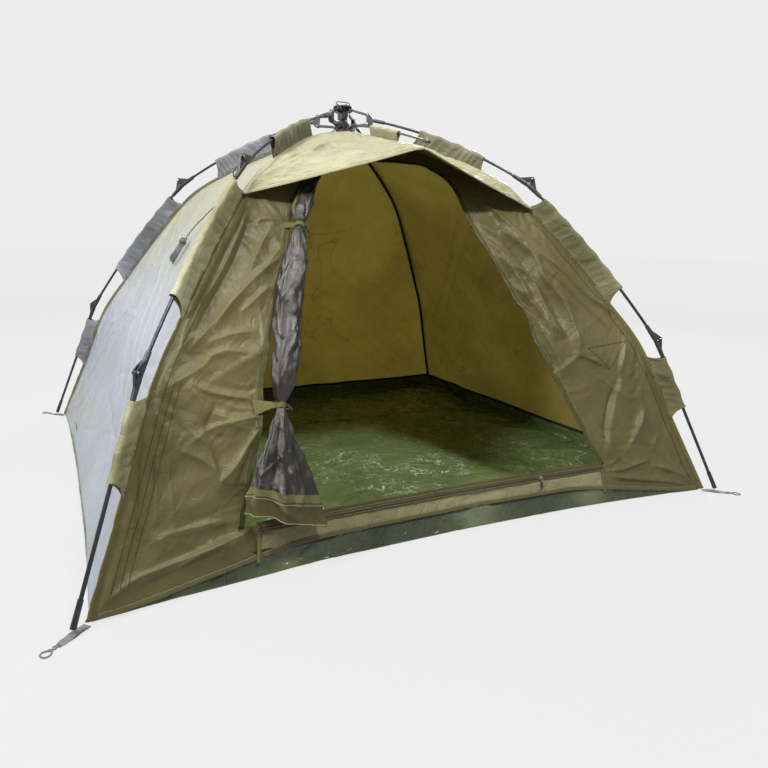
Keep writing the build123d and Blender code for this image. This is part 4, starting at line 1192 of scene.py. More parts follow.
def make_corner_seams():
    """The sewn corner seams: a folded edge stands out of each corner."""
    out = []
    for name in LEGS:
        u, t = leg_frame(name)
        S = SEAM[SEAM[:, 0] > 0.02]
        P = S[:, :1] * u[None] + np.stack([0 * S[:, 0], 0 * S[:, 0], S[:, 1]], 1)
        T = np.gradient(S, axis=0)
        T /= np.linalg.norm(T, axis=1, keepdims=True)
        nrm = -T[:, 1:] * u[None] + np.stack([0 * T[:, 0], 0 * T[:, 0], T[:, 0]], 1)
        s = np.arange(len(P)) * 0.02
        wob = 0.0012 * noise2(s * 40, s * 0 + 3, 7, 1.0)
        P2 = P + nrm * 0.0045 + wob[:, None] * t[None]
        ob = sweep(f"corner_seam_{name}", P2, rect(0.0032, 0.013, 0.0011), [M_OUT if name.startswith("front") else M_SLEEVE], N=nrm)
        out.append(ob)
    ob = join(out, "corner_seams")
    soft(ob)


make_corner_seams()


def make_door_binding():
    """Tape round the opening, with the zip's coil beside it."""
    P, N, th = FRONT_EDGE["P"], FRONT_EDGE["N"], FRONT_EDGE["th"]
    c0, c1 = FRONT_EDGE["corner"]
    closed = np.concatenate([P, P[:1]])
    # order from the bottom left round the top to the bottom right
    idx = np.where((th <= min(c0, c1)) | (th >= max(c0, c1)))[0]
    o = list(idx)
    gaps = [i for i in range(len(o) - 1) if o[i + 1] - o[i] > 1]
    if gaps:
        k = gaps[0] + 1
        o = o[k:] + o[:k]
    A = P[o]
    keep = [0]
    for i in range(1, len(A)):
        if np.linalg.norm(A[i] - A[keep[-1]]) > 0.006:
            keep.append(i)
    A, NA = A[keep], N[o][keep]
    ctr = np.array([-0.1, -0.7, 0.6])
    T = np.gradient(A, axis=0)
    T /= np.linalg.norm(T, axis=1, keepdims=True)
    side = np.cross(T, NA)
    away = np.sign(np.sum(side * (A - ctr), 1))[:, None]
    side = side * np.where(away == 0, 1, away)
    tape = sweep("door_binding_tape", A + side * 0.006 + NA * 0.0006, rect(0.018, 0.0030, 0.0012), [M_BIND], N=NA)
    s = np.concatenate([[0], np.cumsum(np.linalg.norm(np.diff(A, axis=0), axis=1))])
    coil = sweep("door_zip_coil", A - side * 0.0035 + NA * 0.0003, ring(0.0019, 8), [M_ZIP])
    st = sweep("door_stitching", A + side * 0.0125 + NA * 0.0024, ring(0.0006, 6), [M_THREAD])
    ob = join([tape, coil, st], "door_binding")
    soft(ob)


make_door_binding()


def make_seam_lines():
    """Stitched lines on the front beside the corner seams, and tapes inside the back corners."""
    def on(x, z, out=0.0009):
        lat, v = np.array([x]), np.array([float(v_of_z("front", z))])
        n = normals("front", lat, v)[0]
        return surface("front", lat, v)[0] + n * (float(lift("front", lat, v)[0]) + out), n
    parts = []
    runs = []
    for sg, off, za, zb in ((-1, 0.030, 0.93, 0.055), (-1, 0.047, 0.50, 0.060), (-1, 0.064, 0.50, 0.065), (1, 0.034, 0.93, 0.05)):
        runs.append([(sg * (CA * float(seam_r(z)) - off), z) for z in np.linspace(za, zb, 90)])
    tri = [(0.584, 0.511), (0.671, 0.438), (0.759, 0.526)]
    for a, b in ((tri[0], tri[1]), (tri[1], tri[2]), (tri[2], tri[0])):
        runs.append([(a[0] + (b[0] - a[0]) * t, a[1] + (b[1] - a[1]) * t) for t in np.linspace(0, 1, 24)])
    for k, run in enumerate(runs):
        q = [on(x, z) for x, z in run]
        parts.append(sweep("sm", [a for a, b in q], rect(0.0022, 0.0010, 0.0003), [M_BIND], N=np.array([b for a, b in q])))
    ob = join(parts, "front_seam_lines")
    soft(ob)
    parts = []
    for name in ("back_left", "back_right", "front_right"):
        pts = []
        for z in np.linspace(0.075, 1.20, 120):
            r = float(seam_r(z))
            e = 0.004
            dr = (float(seam_r(z + e)) - float(seam_r(z - e))) / (2 * e)
            n = np.array([-1.0, dr])
            n /= np.linalg.norm(n)
            pts.append(leg_point(name, r + 0.011 * n[0], z + 0.011 * n[1]))
        parts.append(sweep("ct", np.array(pts), rect(0.013, 0.004, 0.0015), [M_INNER_TAPE]))
    ob = join(parts, "inside_corner_tapes")
    soft(ob)


M_INNER_TAPE = fabric("inner_tape", srgb(44, 42, 28), srgb(36, 34, 22), srgb(54, 52, 36), rough=0.7, amount=0.3, spec=0.1, sheen=0.0)
make_seam_lines()


# ------------------------------------------------------------------ pole sleeves
def seam_under(curve, s):
    """Where the corner seam lies under a point of the pole, measured along the pole's own normal."""
    p = np.array(curve.point(s))
    a = curve.angle(s)
    T, Nn = np.array([math.cos(a), math.sin(a)]), np.array([-math.sin(a), math.cos(a)])
    rel = SEAM - p
    tau, n = rel @ T, rel @ Nn
    i = np.where(np.diff(np.sign(tau)) != 0)[0]
    if len(i) == 0:
        return -0.055
    i = i[0]
    f = tau[i] / (tau[i] - tau[i + 1])
    return float(n[i] * (1 - f) + n[i + 1] * f)


SLEEVES = ((ARC_1, 0.300, 0.538, 0), (ARC_2, 0.757, 1.042, 1), (LINE_3, 1.206, 1.290, 2))


def make_sleeves():
    for name in LEGS:
        u, t = leg_frame(name)
        parts = []
        for ci, (curve, r0, r1, k) in enumerate(SLEEVES):
            s0, s1 = curve.s_at_r(r0), curve.s_at_r(r1)
            rs = TUBE_R[k] + 0.0042
            ns, nq = 130, 46
            seed = 100 + 10 * ci + list(LEGS).index(name)
            rng = np.random.default_rng(seed)
            S = np.linspace(0, 1, ns)
            half = np.linspace(0, 1, 17)[:-1]
            arcp = np.linspace(0, math.pi, 14)
            verts = []
            ph = rng.uniform(0, 6.28, 4)
            for a in S:
                sm = s0 + (s1 - s0) * a
                d = -seam_under(curve, min(max(sm, 0.02), curve.length - 0.01)) - 0.001
                for side in ("l", "arc", "r"):
                    if side == "arc":
                        sec = [(rs * math.cos(x), rs * 1.05 * math.sin(x)) for x in (math.pi - arcp)]
                    else:
                        q = half if side == "l" else half[::-1]
                        sg = -1 if side == "l" else 1
                        sec = [(sg * (0.0013 + (rs - 0.0013) * (f * f * (3 - 2 * f)) ** 1.6), -d * (1 - f)) for f in q]
                    for tt, n in sec:
                        f = np.clip(-n / d, 0, 1)
                        flare = 0.030 * f * f
                        e0, e1 = s0 - flare, s1 + flare
                        e0, e1 = max(e0, 0.01), min(e1, curve.length - 0.012)
                        ss = e0 + (e1 - e0) * a
                        mid = math.sin(math.pi * min(f, 1.0)) ** 0.7 if 0 < f < 1 else 0.0
                        wob = mid * ((0.0045 if ci == 0 else 0.0034) * math.sin(ss * 62 + ph[0]) * math.sin(ss * 21 + ph[1]) + (0.0030 if ci == 0 else 0.0018) * (0.6 - abs(math.sin(ss * (120 if ci == 0 else 85) + ph[2] + f * 2.5 + 1.5 * math.sin(ss * 31)))))
                        up = 0.0016 * math.sin(ss * 85 + ph[3]) * (1 - f)
                        hem = 0.0007 if (a < 0.035 or a > 0.965) else 0.0
                        wid = tt + math.copysign(hem + abs(up) * 0.5, tt) + wob
                        r, z = curve.point(ss, n + (up if n >= 0 else 0))
                        verts.append(r * u + np.array([0, 0, z]) + wid * t)
            nq = len(verts) // ns
            # Painted light on the sleeves: the back-left ones get the copy with painted glare, and the front-left's
            # middle and lower ones the lit copy.
            mat = {"back_left": M_SLEEVE_PAINTED_GLARE, "front_left": M_SLEEVE_PAINTED_LIT if ci else M_SLEEVE_GREY, "front_right": M_SLEEVE if ci else M_SLEEVE_GREY, "back_right": M_SLEEVE}[name]
            ob = new_mesh(f"sl_{name}_{ci}", verts, grid_faces(nq, ns), [mat])
            outward(ob, ref=tuple(leg_point(name, *curve.point((s0 + s1) / 2, -0.02))))
            solidify(ob, 0.0009)
            parts.append(ob)
            # a line of stitching where the sleeve is sewn to the seam, and one below the pole
            for off, rad in ((0.012, 0.0008), (0.014, 0.0007)):
                line = []
                for a in np.linspace(0.01, 0.99, 60):
                    ss = s0 + (s1 - s0) * a
                    if off == 0.012:
                        n = seam_under(curve, min(max(ss, 0.02), curve.length - 0.01)) + off
                    else:
                        n = -rs - 0.004
                    line.append((ss, n))
                for sg in (-1, 1):
                    L = [leg_point(name, *curve.point(ss, n), 0) + sg * t * (0.0032 if off == 0.012 else rs * 0.55) for ss, n in line]
                    parts.append(sweep("st", L, ring(rad, 5), [M_THREAD]))
        ob = join(parts, f"sleeves_{name}")
        soft(ob)
        if name == "front_left":
            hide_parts("pole_sleeves")


make_sleeves()


# ------------------------------------------------------------------ awning
def make_awning():
    seam = smooth_line([(0.095, 1.2295), (0.300, 1.181), (0.520, 1.0925), (0.640, 1.026), (0.722, 0.965)], 32)
    ridge = smooth_line([(-0.072, 1.246), (-0.225, 1.214), (-0.380, 1.183), (-0.505, 1.156), (-0.611, 1.131)], 32)
    nv, nh = len(seam), 104
    verts, nrm = [], []
    for j in range(nv):
        r, z = seam[j]
        y, zr = ridge[j]
        v = j / (nv - 1)
        for i in range(-nh, nh + 1):
            q = abs(i) / nh
            sg = -1 if i < 0 else 1
            a = np.array([0.0, y, zr])
            b = np.array([sg * (r * CA - 0.003 * SA), -(r * SA + 0.003 * CA), z + 0.010])
            p = a * (1 - q) + b * q
            sag = 0.0035 * v * math.sin(math.pi * q) ** 0.9
            p = p + np.array([0, 0.30 * sag, -sag])
            # the ridge is rounded over the strut's sleeve
            p[2] -= 0.004 * math.exp(-(q / 0.03) ** 2)
            verts.append(p)
    V = np.array(verts).reshape(nv, 2 * nh + 1, 3)
    x, vv = V[..., 0], np.linspace(0, 1, nv)[:, None] * np.ones((1, 2 * nh + 1)) * 0.70
    d = 0.0018 * noise2(x, vv, 201, 0.12)
    d += creases(x, vv, 202, 90, (-0.55, 0.05), (0.55, 0.7), length=(0.05, 0.25), amp=(0.0006, 0.0020), width=(0.004, 0.009))
    for s in (-1, 1):
        d += fan(x, vv, s * 0.53, 0.68, -100 if s > 0 else -80, 50, 9, 0.50, 0.0060, 203 + s)
        d += fan(x, vv, s * 0.02, 0.68, -62 if s > 0 else -118, 40, 6, 0.45, 0.0045, 206 + s)
    d += fan(x, vv, 0, 0.02, 90, 60, 9, 0.5, 0.0035, 209)
    d += 0.0060 * facets(x, vv, 210, 0.085, 0.9, 1.8) + 0.0028 * facets(x, vv, 211, 0.040, -0.5, 1.8)
    for s in (-1, 1):
        d += line_folds(x, vv, (s * 0.16, 0.22), (s * 0.50, 0.66), 3, 0.028, 0.0085, 215 + s, width=0.008, wander=0.006)
        d += poly_fold(x, vv, [(s * 0.06, 0.10), (s * 0.22, 0.30), (s * 0.40, 0.62)], 0.009, 0.008, 0.030)
        d += poly_fold(x, vv, [(s * 0.30, 0.34), (s * 0.40, 0.48), (s * 0.52, 0.66)], 0.008, 0.006, 0.022)
        d += poly_fold(x, vv, [(s * 0.14, 0.56), (s * 0.30, 0.50), (s * 0.44, 0.56)], 0.006, 0.008, 0.024)
    q = np.abs(np.linspace(-1, 1, 2 * nh + 1))[None]
    d = d * np.clip((1 - q) / 0.06, 0, 1) * np.clip(q / 0.05, 0.3, 1) * np.clip(vv / 0.08, 0, 1)
    d = np.clip(d, -0.012, 0.016) * np.clip((0.70 - vv) / 0.07, 0.12, 1)
    a = np.gradient(V, axis=0)
    b = np.gradient(V, axis=1)
    n = np.cross(a, b)
    n /= np.maximum(np.linalg.norm(n, axis=-1, keepdims=True), 1e-9)
    n *= np.sign(n[..., 2:] + 1e-9)
    V = V + n * d[..., None]
    ob = new_mesh("awning_cloth", V.reshape(-1, 3), grid_faces(2 * nh + 1, nv), [M_AWN_PAINTED_LIGHT, M_AWN_IN])
    if sum(p.normal.z * p.area for p in ob.data.polygons) < 0:
        ob.data.flip_normals()
    solidify(ob, 0.0011, inner_mat=1)
    # hem along the front edge
    E = V[-1]
    T = np.gradient(E, axis=0)
    T /= np.linalg.norm(T, axis=1, keepdims=True)
    back = (V[-2] - V[-1])
    back /= np.linalg.norm(back, axis=1, keepdims=True)
    nn = n[-1]
    hem = sweep("h", E + back * 0.009 - nn * 0.0006, rect(0.020, 0.0034, 0.0013), [M_AWN_PAINTED_LIGHT], N=nn)
    st = sweep("s", E + back * 0.017 + nn * 0.0014, ring(0.0007, 5), [M_THREAD])
    st2 = sweep("s2", E + back * 0.003 + nn * 0.0014, ring(0.0007, 5), [M_THREAD])
    h = join([hem, st, st2], "awning_hem")
    soft(ob)
    soft(h)
    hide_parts("awning")
    return ob, h, V


AWN, AWN_HEM, AWN_V = make_awning()


def arc3(a, m, b, n=60):
    """Points of the circle through three points."""
    a, m, b = (np.array(p, float) for p in (a, m, b))
    A = np.array([[2 * (m - a)[0], 2 * (m - a)[1]], [2 * (b - a)[0], 2 * (b - a)[1]]])
    c = np.linalg.solve(A, [m @ m - a @ a, b @ b - a @ a])
    r = np.linalg.norm(a - c)
    t0, tm, t1 = (math.atan2(*(p - c)[::-1]) for p in (a, m, b))
    t = np.linspace(t0, t1, n)
    return c + r * np.stack([np.cos(t), np.sin(t)], 1)


def make_strut():
    yz = arc3((-0.084, 1.266), (-0.365, 1.211), (-0.642, 1.142), 70)
    P = np.stack([0 * yz[:, 0], yz[:, 0], yz[:, 1]], 1)
    rod = sweep("rod", P, ring(0.0034, 14), [M_ROD])
    tip = sweep("tip", P[-6:], ring(0.0050, 14), [M_BLACK], scale=[(1, 1), (1.02, 1.02), (1.04, 1.04), (1.02, 1.02), (0.96, 0.96), (0.7, 0.7)])
    butt = sweep("butt", P[:6], ring(0.0050, 14), [M_BLACK])
    ob = join([rod, tip, butt], "awning_strut")
    soft(ob)
    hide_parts("awning_pole")
    # its sleeve, sewn along the ridge
    lo, hi = int(0.29 * 69), int(0.66 * 69)
    Q = P[lo:hi + 1]
    T = np.gradient(Q, axis=0)
    T /= np.linalg.norm(T, axis=1, keepdims=True)
    nn = np.stack([0 * T[:, 0], -T[:, 2], T[:, 1]], 1)
    nn *= np.sign(nn[:, 2:])
    verts = []
    k = 0
    for i, p in enumerate(Q):
        ridge_z = float(np.interp(-p[1], [0.072, 0.225, 0.380, 0.505, 0.611], [1.246, 1.214, 1.183, 1.156, 1.131]))
        drop = max(p[2] - ridge_z, 0.012)
        row = []
        for f in np.linspace(0, 1, 9)[:-1]:
            row.append((-(0.0012 + 0.0058 * (f * f * (3 - 2 * f))), -drop * (1 - f)))
        for x in np.linspace(math.pi, 0, 12):
            row.append((0.0070 * math.cos(x), 0.0070 * math.sin(x)))
        for f in np.linspace(1, 0, 9)[1:]:
            row.append((0.0012 + 0.0058 * (f * f * (3 - 2 * f)), -drop * (1 - f)))
        k = len(row)
        for x, n in row:
            w = 0.0010 * math.sin(i * 0.9) * (1 if n >= 0 else 0.6)
            verts.append(p + np.array([x * (1 + 0.12 * math.sin(i * 0.55)), 0, 0]) + nn[i] * (n + w))
    s = new_mesh("ss", verts, grid_faces(k, len(Q)), [M_AWN_PAINTED_LIGHT])
    outward(s, ref=tuple(Q[len(Q) // 2] + nn[0] * -0.004))
    solidify(s, 0.0008)
    s.name = "awning_strut_sleeve"
    soft(s)
    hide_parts("awning_pole_sleeve")


make_strut()


# ------------------------------------------------------------------ rolled door
ROLL = [  # z, x, radius across, radius deep, tilt of the section
    (1.046, -0.272, 0.0165, 0.0100, 0.0), (1.004, -0.318, 0.0270, 0.0165, 0.0), (0.952, -0.349, 0.0310, 0.0210, 0.0),
    (0.915, -0.364, 0.0210, 0.0165, 0.0), (0.893, -0.372, 0.0125, 0.0115, 0.0), (0.868, -0.384, 0.0215, 0.0175, 0.0),
    (0.780, -0.420, 0.0350, 0.0245, 0.0), (0.640, -0.466, 0.0405, 0.0265, 0.0), (0.520, -0.497, 0.0360, 0.0240, 0.0),
    (0.458, -0.511, 0.0210, 0.0165, 0.0), (0.428, -0.516, 0.0100, 0.0095, 0.0), (0.400, -0.519, 0.0190, 0.0150, -0.06),
    (0.330, -0.526, 0.0440, 0.0210, -0.16), (0.250, -0.532, 0.0720, 0.0240, -0.26), (0.190, -0.535, 0.0920, 0.0270, -0.32),
    (0.150, -0.536, 0.1010, 0.0300, -0.34)]


def front_y(x, z):
    r = float(seam_r(z))
    pull = 0.012 * min(max(r / 0.8, 0), 1) * min(max((z - 0.1) / 0.3, 0), 1)
    u = min(max(x / (CA * r), -1), 1)
    return -(SA * r - (float(bow(z, BOW["front"])) + pull) * (1 - u * u))


def roll_axis(n):
    key = np.array(ROLL)
    # even steps down the roll, through a smooth curve
    line = smooth_line([tuple(k) for k in key], 20)
    s = np.concatenate([[0], np.cumsum(np.hypot(np.diff(line[:, 0]), np.diff(line[:, 1])))])
    q = np.linspace(0, s[-1], n)
    return q, np.stack([np.interp(q, s, line[:, i]) for i in range(5)], 1)


def make_roll():
    n, m = 420, 132
    q, K = roll_axis(n)
    L = q[-1]
    th = np.linspace(0, 2 * np.pi, m, endpoint=False)
    rng = np.random.default_rng(31)
    verts = []
    pleats = [(rng.uniform(0, 6.28), rng.integers(3, 9), rng.uniform(0.4, 1.0), rng.uniform(-3, 3)) for _ in range(7)]
    Z = K[:, 0]
    s_grid = q[:, None] * np.ones((1, m))
    t_grid = th[None] * np.ones((n, 1))
    ridge = np.zeros((n, m))
    for ph, k, a, drift in pleats:
        ridge += a * np.abs(np.sin(0.5 * k * (t_grid + ph) + drift * s_grid)) ** 0.7
    ridge = ridge / 7 - 0.42
    lumps = noise2(np.cos(t_grid) * 0.05 + 0.5, s_grid + np.sin(t_grid) * 0.05, 302, 0.055) * 0.5
    lumps += noise2(np.cos(t_grid) * 0.05 + 0.3, s_grid * 1.0 + np.sin(t_grid) * 0.05, 303, 0.023) * 0.42
    diag = np.zeros((n, m))
    for _ in range(70):
        c, s0 = rng.uniform(0, 2 * np.pi), rng.uniform(0, L)
        slope, ln, w = rng.uniform(-16, 16), rng.uniform(0.03, 0.10), rng.uniform(0.08, 0.20)
        dt = (t_grid - c - slope * (s_grid - s0) + np.pi) % (2 * np.pi) - np.pi
        diag += rng.uniform(0.5, 1.2) * rng.choice([-1, 1], p=[0.4, 0.6]) * np.exp(-(dt / w) ** 2) * np.clip(1 - ((s_grid - s0) / ln) ** 2, 0, 1)
    zl = Z[:, None]
    tight = np.ones((n, 1))
    for zt in (0.893, 0.428):
        tight = np.minimum(tight, 0.25 + np.clip(np.abs(zl - zt) / 0.05, 0, 1) * 0.75)
    flare = np.clip((0.42 - zl) / 0.20, 0, 1)
    amp = K[:, 2:3] * (0.30 * tight) * (1 - 0.55 * flare) + 0.0
    d = ridge * amp * 1.15 + lumps * 0.0060 * tight + diag * 0.0036 * tight
    # the flare hangs in a few deep pleats
    pl = 0.0
    for k, a, ph in ((5, 0.007, 0.4), (9, 0.0042, 1.9), (14, 0.0022, 4.0)):
        pl = pl + a * np.cos(k * t_grid + ph + 1.2 * np.sin(9 * s_grid))
    d = d + pl * flare
    for i in range(n):
        z, x, rx, ry, tilt = K[i]
        cy = front_y(x, z) - ry - 0.0075
        # sections stand square to the roll's own line above, and level at the hem
        for j in range(m):
            a, b = math.cos(th[j]), math.sin(th[j])
            # a flatter back where it lies on the cloth
            bb = b if b < 0 else b * 0.82
            px = x + (rx + d[i, j]) * a
            py = cy - (ry + d[i, j]) * (-bb)
            pz = z + tilt * (rx * a)
            lim = front_y(px, max(pz, 0.03)) - 0.0050
            verts.append((px, min(py, lim), pz))
    V = np.array(verts).reshape(n, m, 3)
    faces = grid_faces(m, n, close_u=True)
    fi = np.arange(n - 1).repeat(m)
    below = L - q
    olive, tape = M_ROLL_TRIM, M_TAB
    idx = np.zeros(len(faces), int)
    bl = below[fi]
    idx[bl < 0.050] = 1
    idx[(bl >= 0.050) & (bl < 0.0545)] = 2
    idx[(bl >= 0.0545) & (bl < 0.072)] = 3
    tj = np.tile(th, n - 1)
    strip = (K[fi, 0] > 0.905) & (np.abs(((tj - 3.75 + (q[fi] * 5)) + np.pi) % (2 * np.pi) - np.pi) < 0.34)
    idx[strip] = 3
    ob = new_mesh("rolled_door_net", V.reshape(-1, 3), faces, [M_MESH, olive, M_ZIP, tape], mat_index=idx)
    outward(ob, ref=tuple(V[n // 2].mean(0)))
    solidify(ob, 0.0011)
    # top end closed
    c = V[0].mean(0)
    cap = new_mesh("cap", [tuple(c)] + [tuple(v) for v in V[0]], [(0, 1 + (j + 1) % m, 1 + j) for j in range(m)], [M_MESH])
    hems = []
    for back, rad, mt in ((0.0025, 0.0013, M_THREAD), (0.046, 0.0011, M_THREAD), (0.0525, 0.0017, M_ZIP)):
        i = int(np.argmin(np.abs(below - back)))
        P = V[i]
        c0 = P.mean(0)
        out = P - c0
        out[:, 2] = 0
        out /= np.linalg.norm(out, axis=1, keepdims=True)
        hems.append(sweep("hm", np.concatenate([P, P[:1]]) + np.concatenate([out, out[:1]]) * 0.0008, ring(rad, 6), [mt], cap=False))
    ob2 = join([ob, cap] + hems, "rolled_door_bundle")
    soft(ob2)
    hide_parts("rolled_door")
    return ob2, V


M_ROLL_TRIM = fabric("door_trim_cloth", srgb(66, 61, 37), srgb(52, 48, 29), srgb(84, 79, 52), rough=0.45, amount=1.0, spec=0.14, sheen=0.0)
ROLL_OB, ROLL_V = make_roll()


def strap(name, P, N, widths, thick, mat):
    """A flat tape whose width changes along it."""
    sec = rect(1.0, 1.0, 0.22)
    return sweep(name, P, sec, [mat], N=N, scale=[(w, thick) for w in widths])


def make_ties():
    parts = []
    for zt, rr, tab_dx, tab_dz, ang in ((0.893, 0.0138, -0.052, -0.002, -0.9), (0.428, 0.0128, -0.070, -0.006, -0.5)):
        x = float(np.interp(-zt, [-k[0] for k in ROLL], [k[1] for k in ROLL]))
        ry = float(np.interp(-zt, [-k[0] for k in ROLL], [k[3] for k in ROLL]))
        c = np.array([x, front_y(x, zt) - ry - 0.0075, zt])
        # the roll's own direction here
        zs = [k[0] for k in ROLL][::-1]
        xa = float(np.interp(zt + 0.05, zs, [k[1] for k in ROLL][::-1]))
        xb = float(np.interp(zt - 0.05, zs, [k[1] for k in ROLL][::-1]))
        ya, yb = front_y(xa, zt + 0.05), front_y(xb, zt - 0.05)
        ax = np.array([xa - xb, ya - yb, 0.10])
        ax /= np.linalg.norm(ax)
        e1 = np.array([1.0, 0, 0]) - ax * ax[0]
        e1 /= np.linalg.norm(e1)
        e2 = np.cross(ax, e1)
        a = np.linspace(0, 2 * np.pi, 49)
        R = c + np.cos(a)[:, None] * e1 * rr + np.sin(a)[:, None] * e2 * rr * 0.93
        R += (0.0012 * np.sin(3 * a))[:, None] * ax
        N = np.cos(a)[:, None] * e1 + np.sin(a)[:, None] * e2
        parts.append(strap("band", R, N, [0.017] * 49, 0.0016, M_TAB))
        # the tab from the band back on to the cloth
        n = 24
        P, NN, W = [], [], []
        for k in range(n):
            f = k / (n - 1)
            px, pz = c[0] - rr * (1 - 0.0) + (tab_dx + rr) * f, zt + tab_dz * f
            py = front_y(px, pz) - 0.0048 + (0.004 * f) - (1 - f) ** 2 * (front_y(px, pz) - 0.004 - c[1])
            P.append((px, py, pz))
            NN.append((0, -1, 0.45))
            W.append(0.015 + (0.006 if zt > 0.8 else 0.030) * f ** 1.3)
        parts.append(strap("tab", P, NN, W, 0.0016, M_TAB))
        # toggle and the small loop that it goes through
        h = c + e1 * (rr + 0.0065) - e2 * 0.0 + np.array([0, -0.004, -0.004])
        dirn = np.array([0.55, -0.15, ang])
        dirn /= np.linalg.norm(dirn)
        T = [h + dirn * s for s in np.linspace(-0.015, 0.015, 13)]
        sc = [0.55, 0.86, 1.0, 1.0, 0.97, 0.84, 0.72, 0.84, 0.97, 1.0, 1.0, 0.86, 0.55]
        parts.append(sweep("toggle", T, ring(0.0036, 14), [M_BLACK], scale=[(v, v) for v in sc]))
        t = np.linspace(0, 2 * np.pi, 40)
        lp = [h + dirn * (0.0044 * math.cos(v)) * 0.5 + e1 * (-0.006 + 0.0085 * math.cos(v)) + ax * (0.0062 * math.sin(v)) for v in t]
        parts.append(rope("loop", np.array(lp), 0.0011, M_LOOP, n=8, pitch=0.006))
    ob = join(parts, "door_tie_straps")
    soft(ob)
    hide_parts("door_ties")


make_ties()


# ------------------------------------------------------------------ sill zip and its slider
def make_sill():
    z0 = 0.122
    xs = np.linspace(-0.606, 0.586, 240)

    def at(x, z, out):
        lat, v = np.array([x]), np.array([float(v_of_z("front", z))])
        return (surface("front", lat, v) + normals("front", lat, v) * out)[0]
    N = np.array([normals("front", np.array([x]), np.array([float(v_of_z("front", z0))]))[0] for x in xs])
    tape = sweep("zt", [at(x, z0, 0.0018) for x in xs], rect(0.021, 0.0014, 0.0006), [M_BIND], N=N)
    coil_pts = []
    for k in range(1500):
        f = k / 1499
        x = -0.600 + 1.180 * f
        coil_pts.append((x, f))
    P = np.array([at(x, z0, 0.0034) for x in xs])
    body = sweep("zc", P, [(0.0026 * math.cos(a), 0.0012 * math.sin(a)) for a in np.linspace(0, 2 * np.pi, 10, endpoint=False)], [M_ZIPTEETH], N=N)
    rows = []
    for off in (-0.0080, 0.0080):
        rows.append(sweep("zs", [at(x, z0 + off * 0.93, 0.0028) for x in xs], ring(0.0005, 5), [M_THREAD], N=N))
    ob = join([tape, body] + rows, "sill_zip_tape")
    soft(ob)
    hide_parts("sill_zip")
    # hem tape along the top of the sill, and a seam at its left end
    top = [at(x, 0.1335, 0.0006) for x in xs]
    hem = sweep("sh", top, rect(0.014, 0.0036, 0.0015), [M_BIND], N=N)
    zs = np.linspace(0.128, 0.040, 26)
    lft = [at(-0.600 - (0.128 - z) * 0.10, z, 0.0012) for z in zs]
    NL = np.array([normals("front", np.array([-0.6]), np.array([float(v_of_z("front", z))]))[0] for z in zs])
    s1 = sweep("sl", lft, rect(0.012, 0.0022, 0.001), [M_OUT], N=NL)
    s2 = sweep("sl2", [p + NL[i] * 0.0013 for i, p in enumerate(lft)], ring(0.0006, 5), [M_THREAD])
    rgt = [at(0.585 + (0.128 - z) * 0.10, z, 0.0012) for z in zs]
    NR = np.array([normals("front", np.array([0.58]), np.array([float(v_of_z("front", z))]))[0] for z in zs])
    s3 = sweep("sr", rgt, rect(0.012, 0.0022, 0.001), [M_OUT], N=NR)
    hb = join([hem, s1, s2, s3], "sill_hem")
    soft(hb)
    # the bottom hem of the front with two rows of stitching
    us = np.linspace(-0.985, 0.985, 400)
    parts = []
    for back, rad, mt in ((0.0060, None, M_OUT), (0.0115, 0.0007, M_THREAD)):
        pts, nn = [], []
        for u in us:
            z = float(hem_z(u, 0.066)) + back
            r = float(seam_r(z))
            lat, v = np.array([u * CA * r]), np.array([float(v_of_z("front", z))])
            nrm = normals("front", lat, v)[0]
            pts.append(surface("front", lat, v)[0] + nrm * (float(lift("front", lat, v)[0]) + (0.0008 if rad is None else 0.0020)))
            nn.append(nrm)
        parts.append(sweep("bh", pts, rect(0.013, 0.0030, 0.0013) if rad is None else ring(rad, 5), [mt], N=nn))
    bh = join(parts, "front_bottom_hem")
    soft(bh)
    return at


M_ZIPTEETH = plastic("zip_teeth", srgb(46, 46, 36), rough=0.35)
SILL_AT = make_sill()


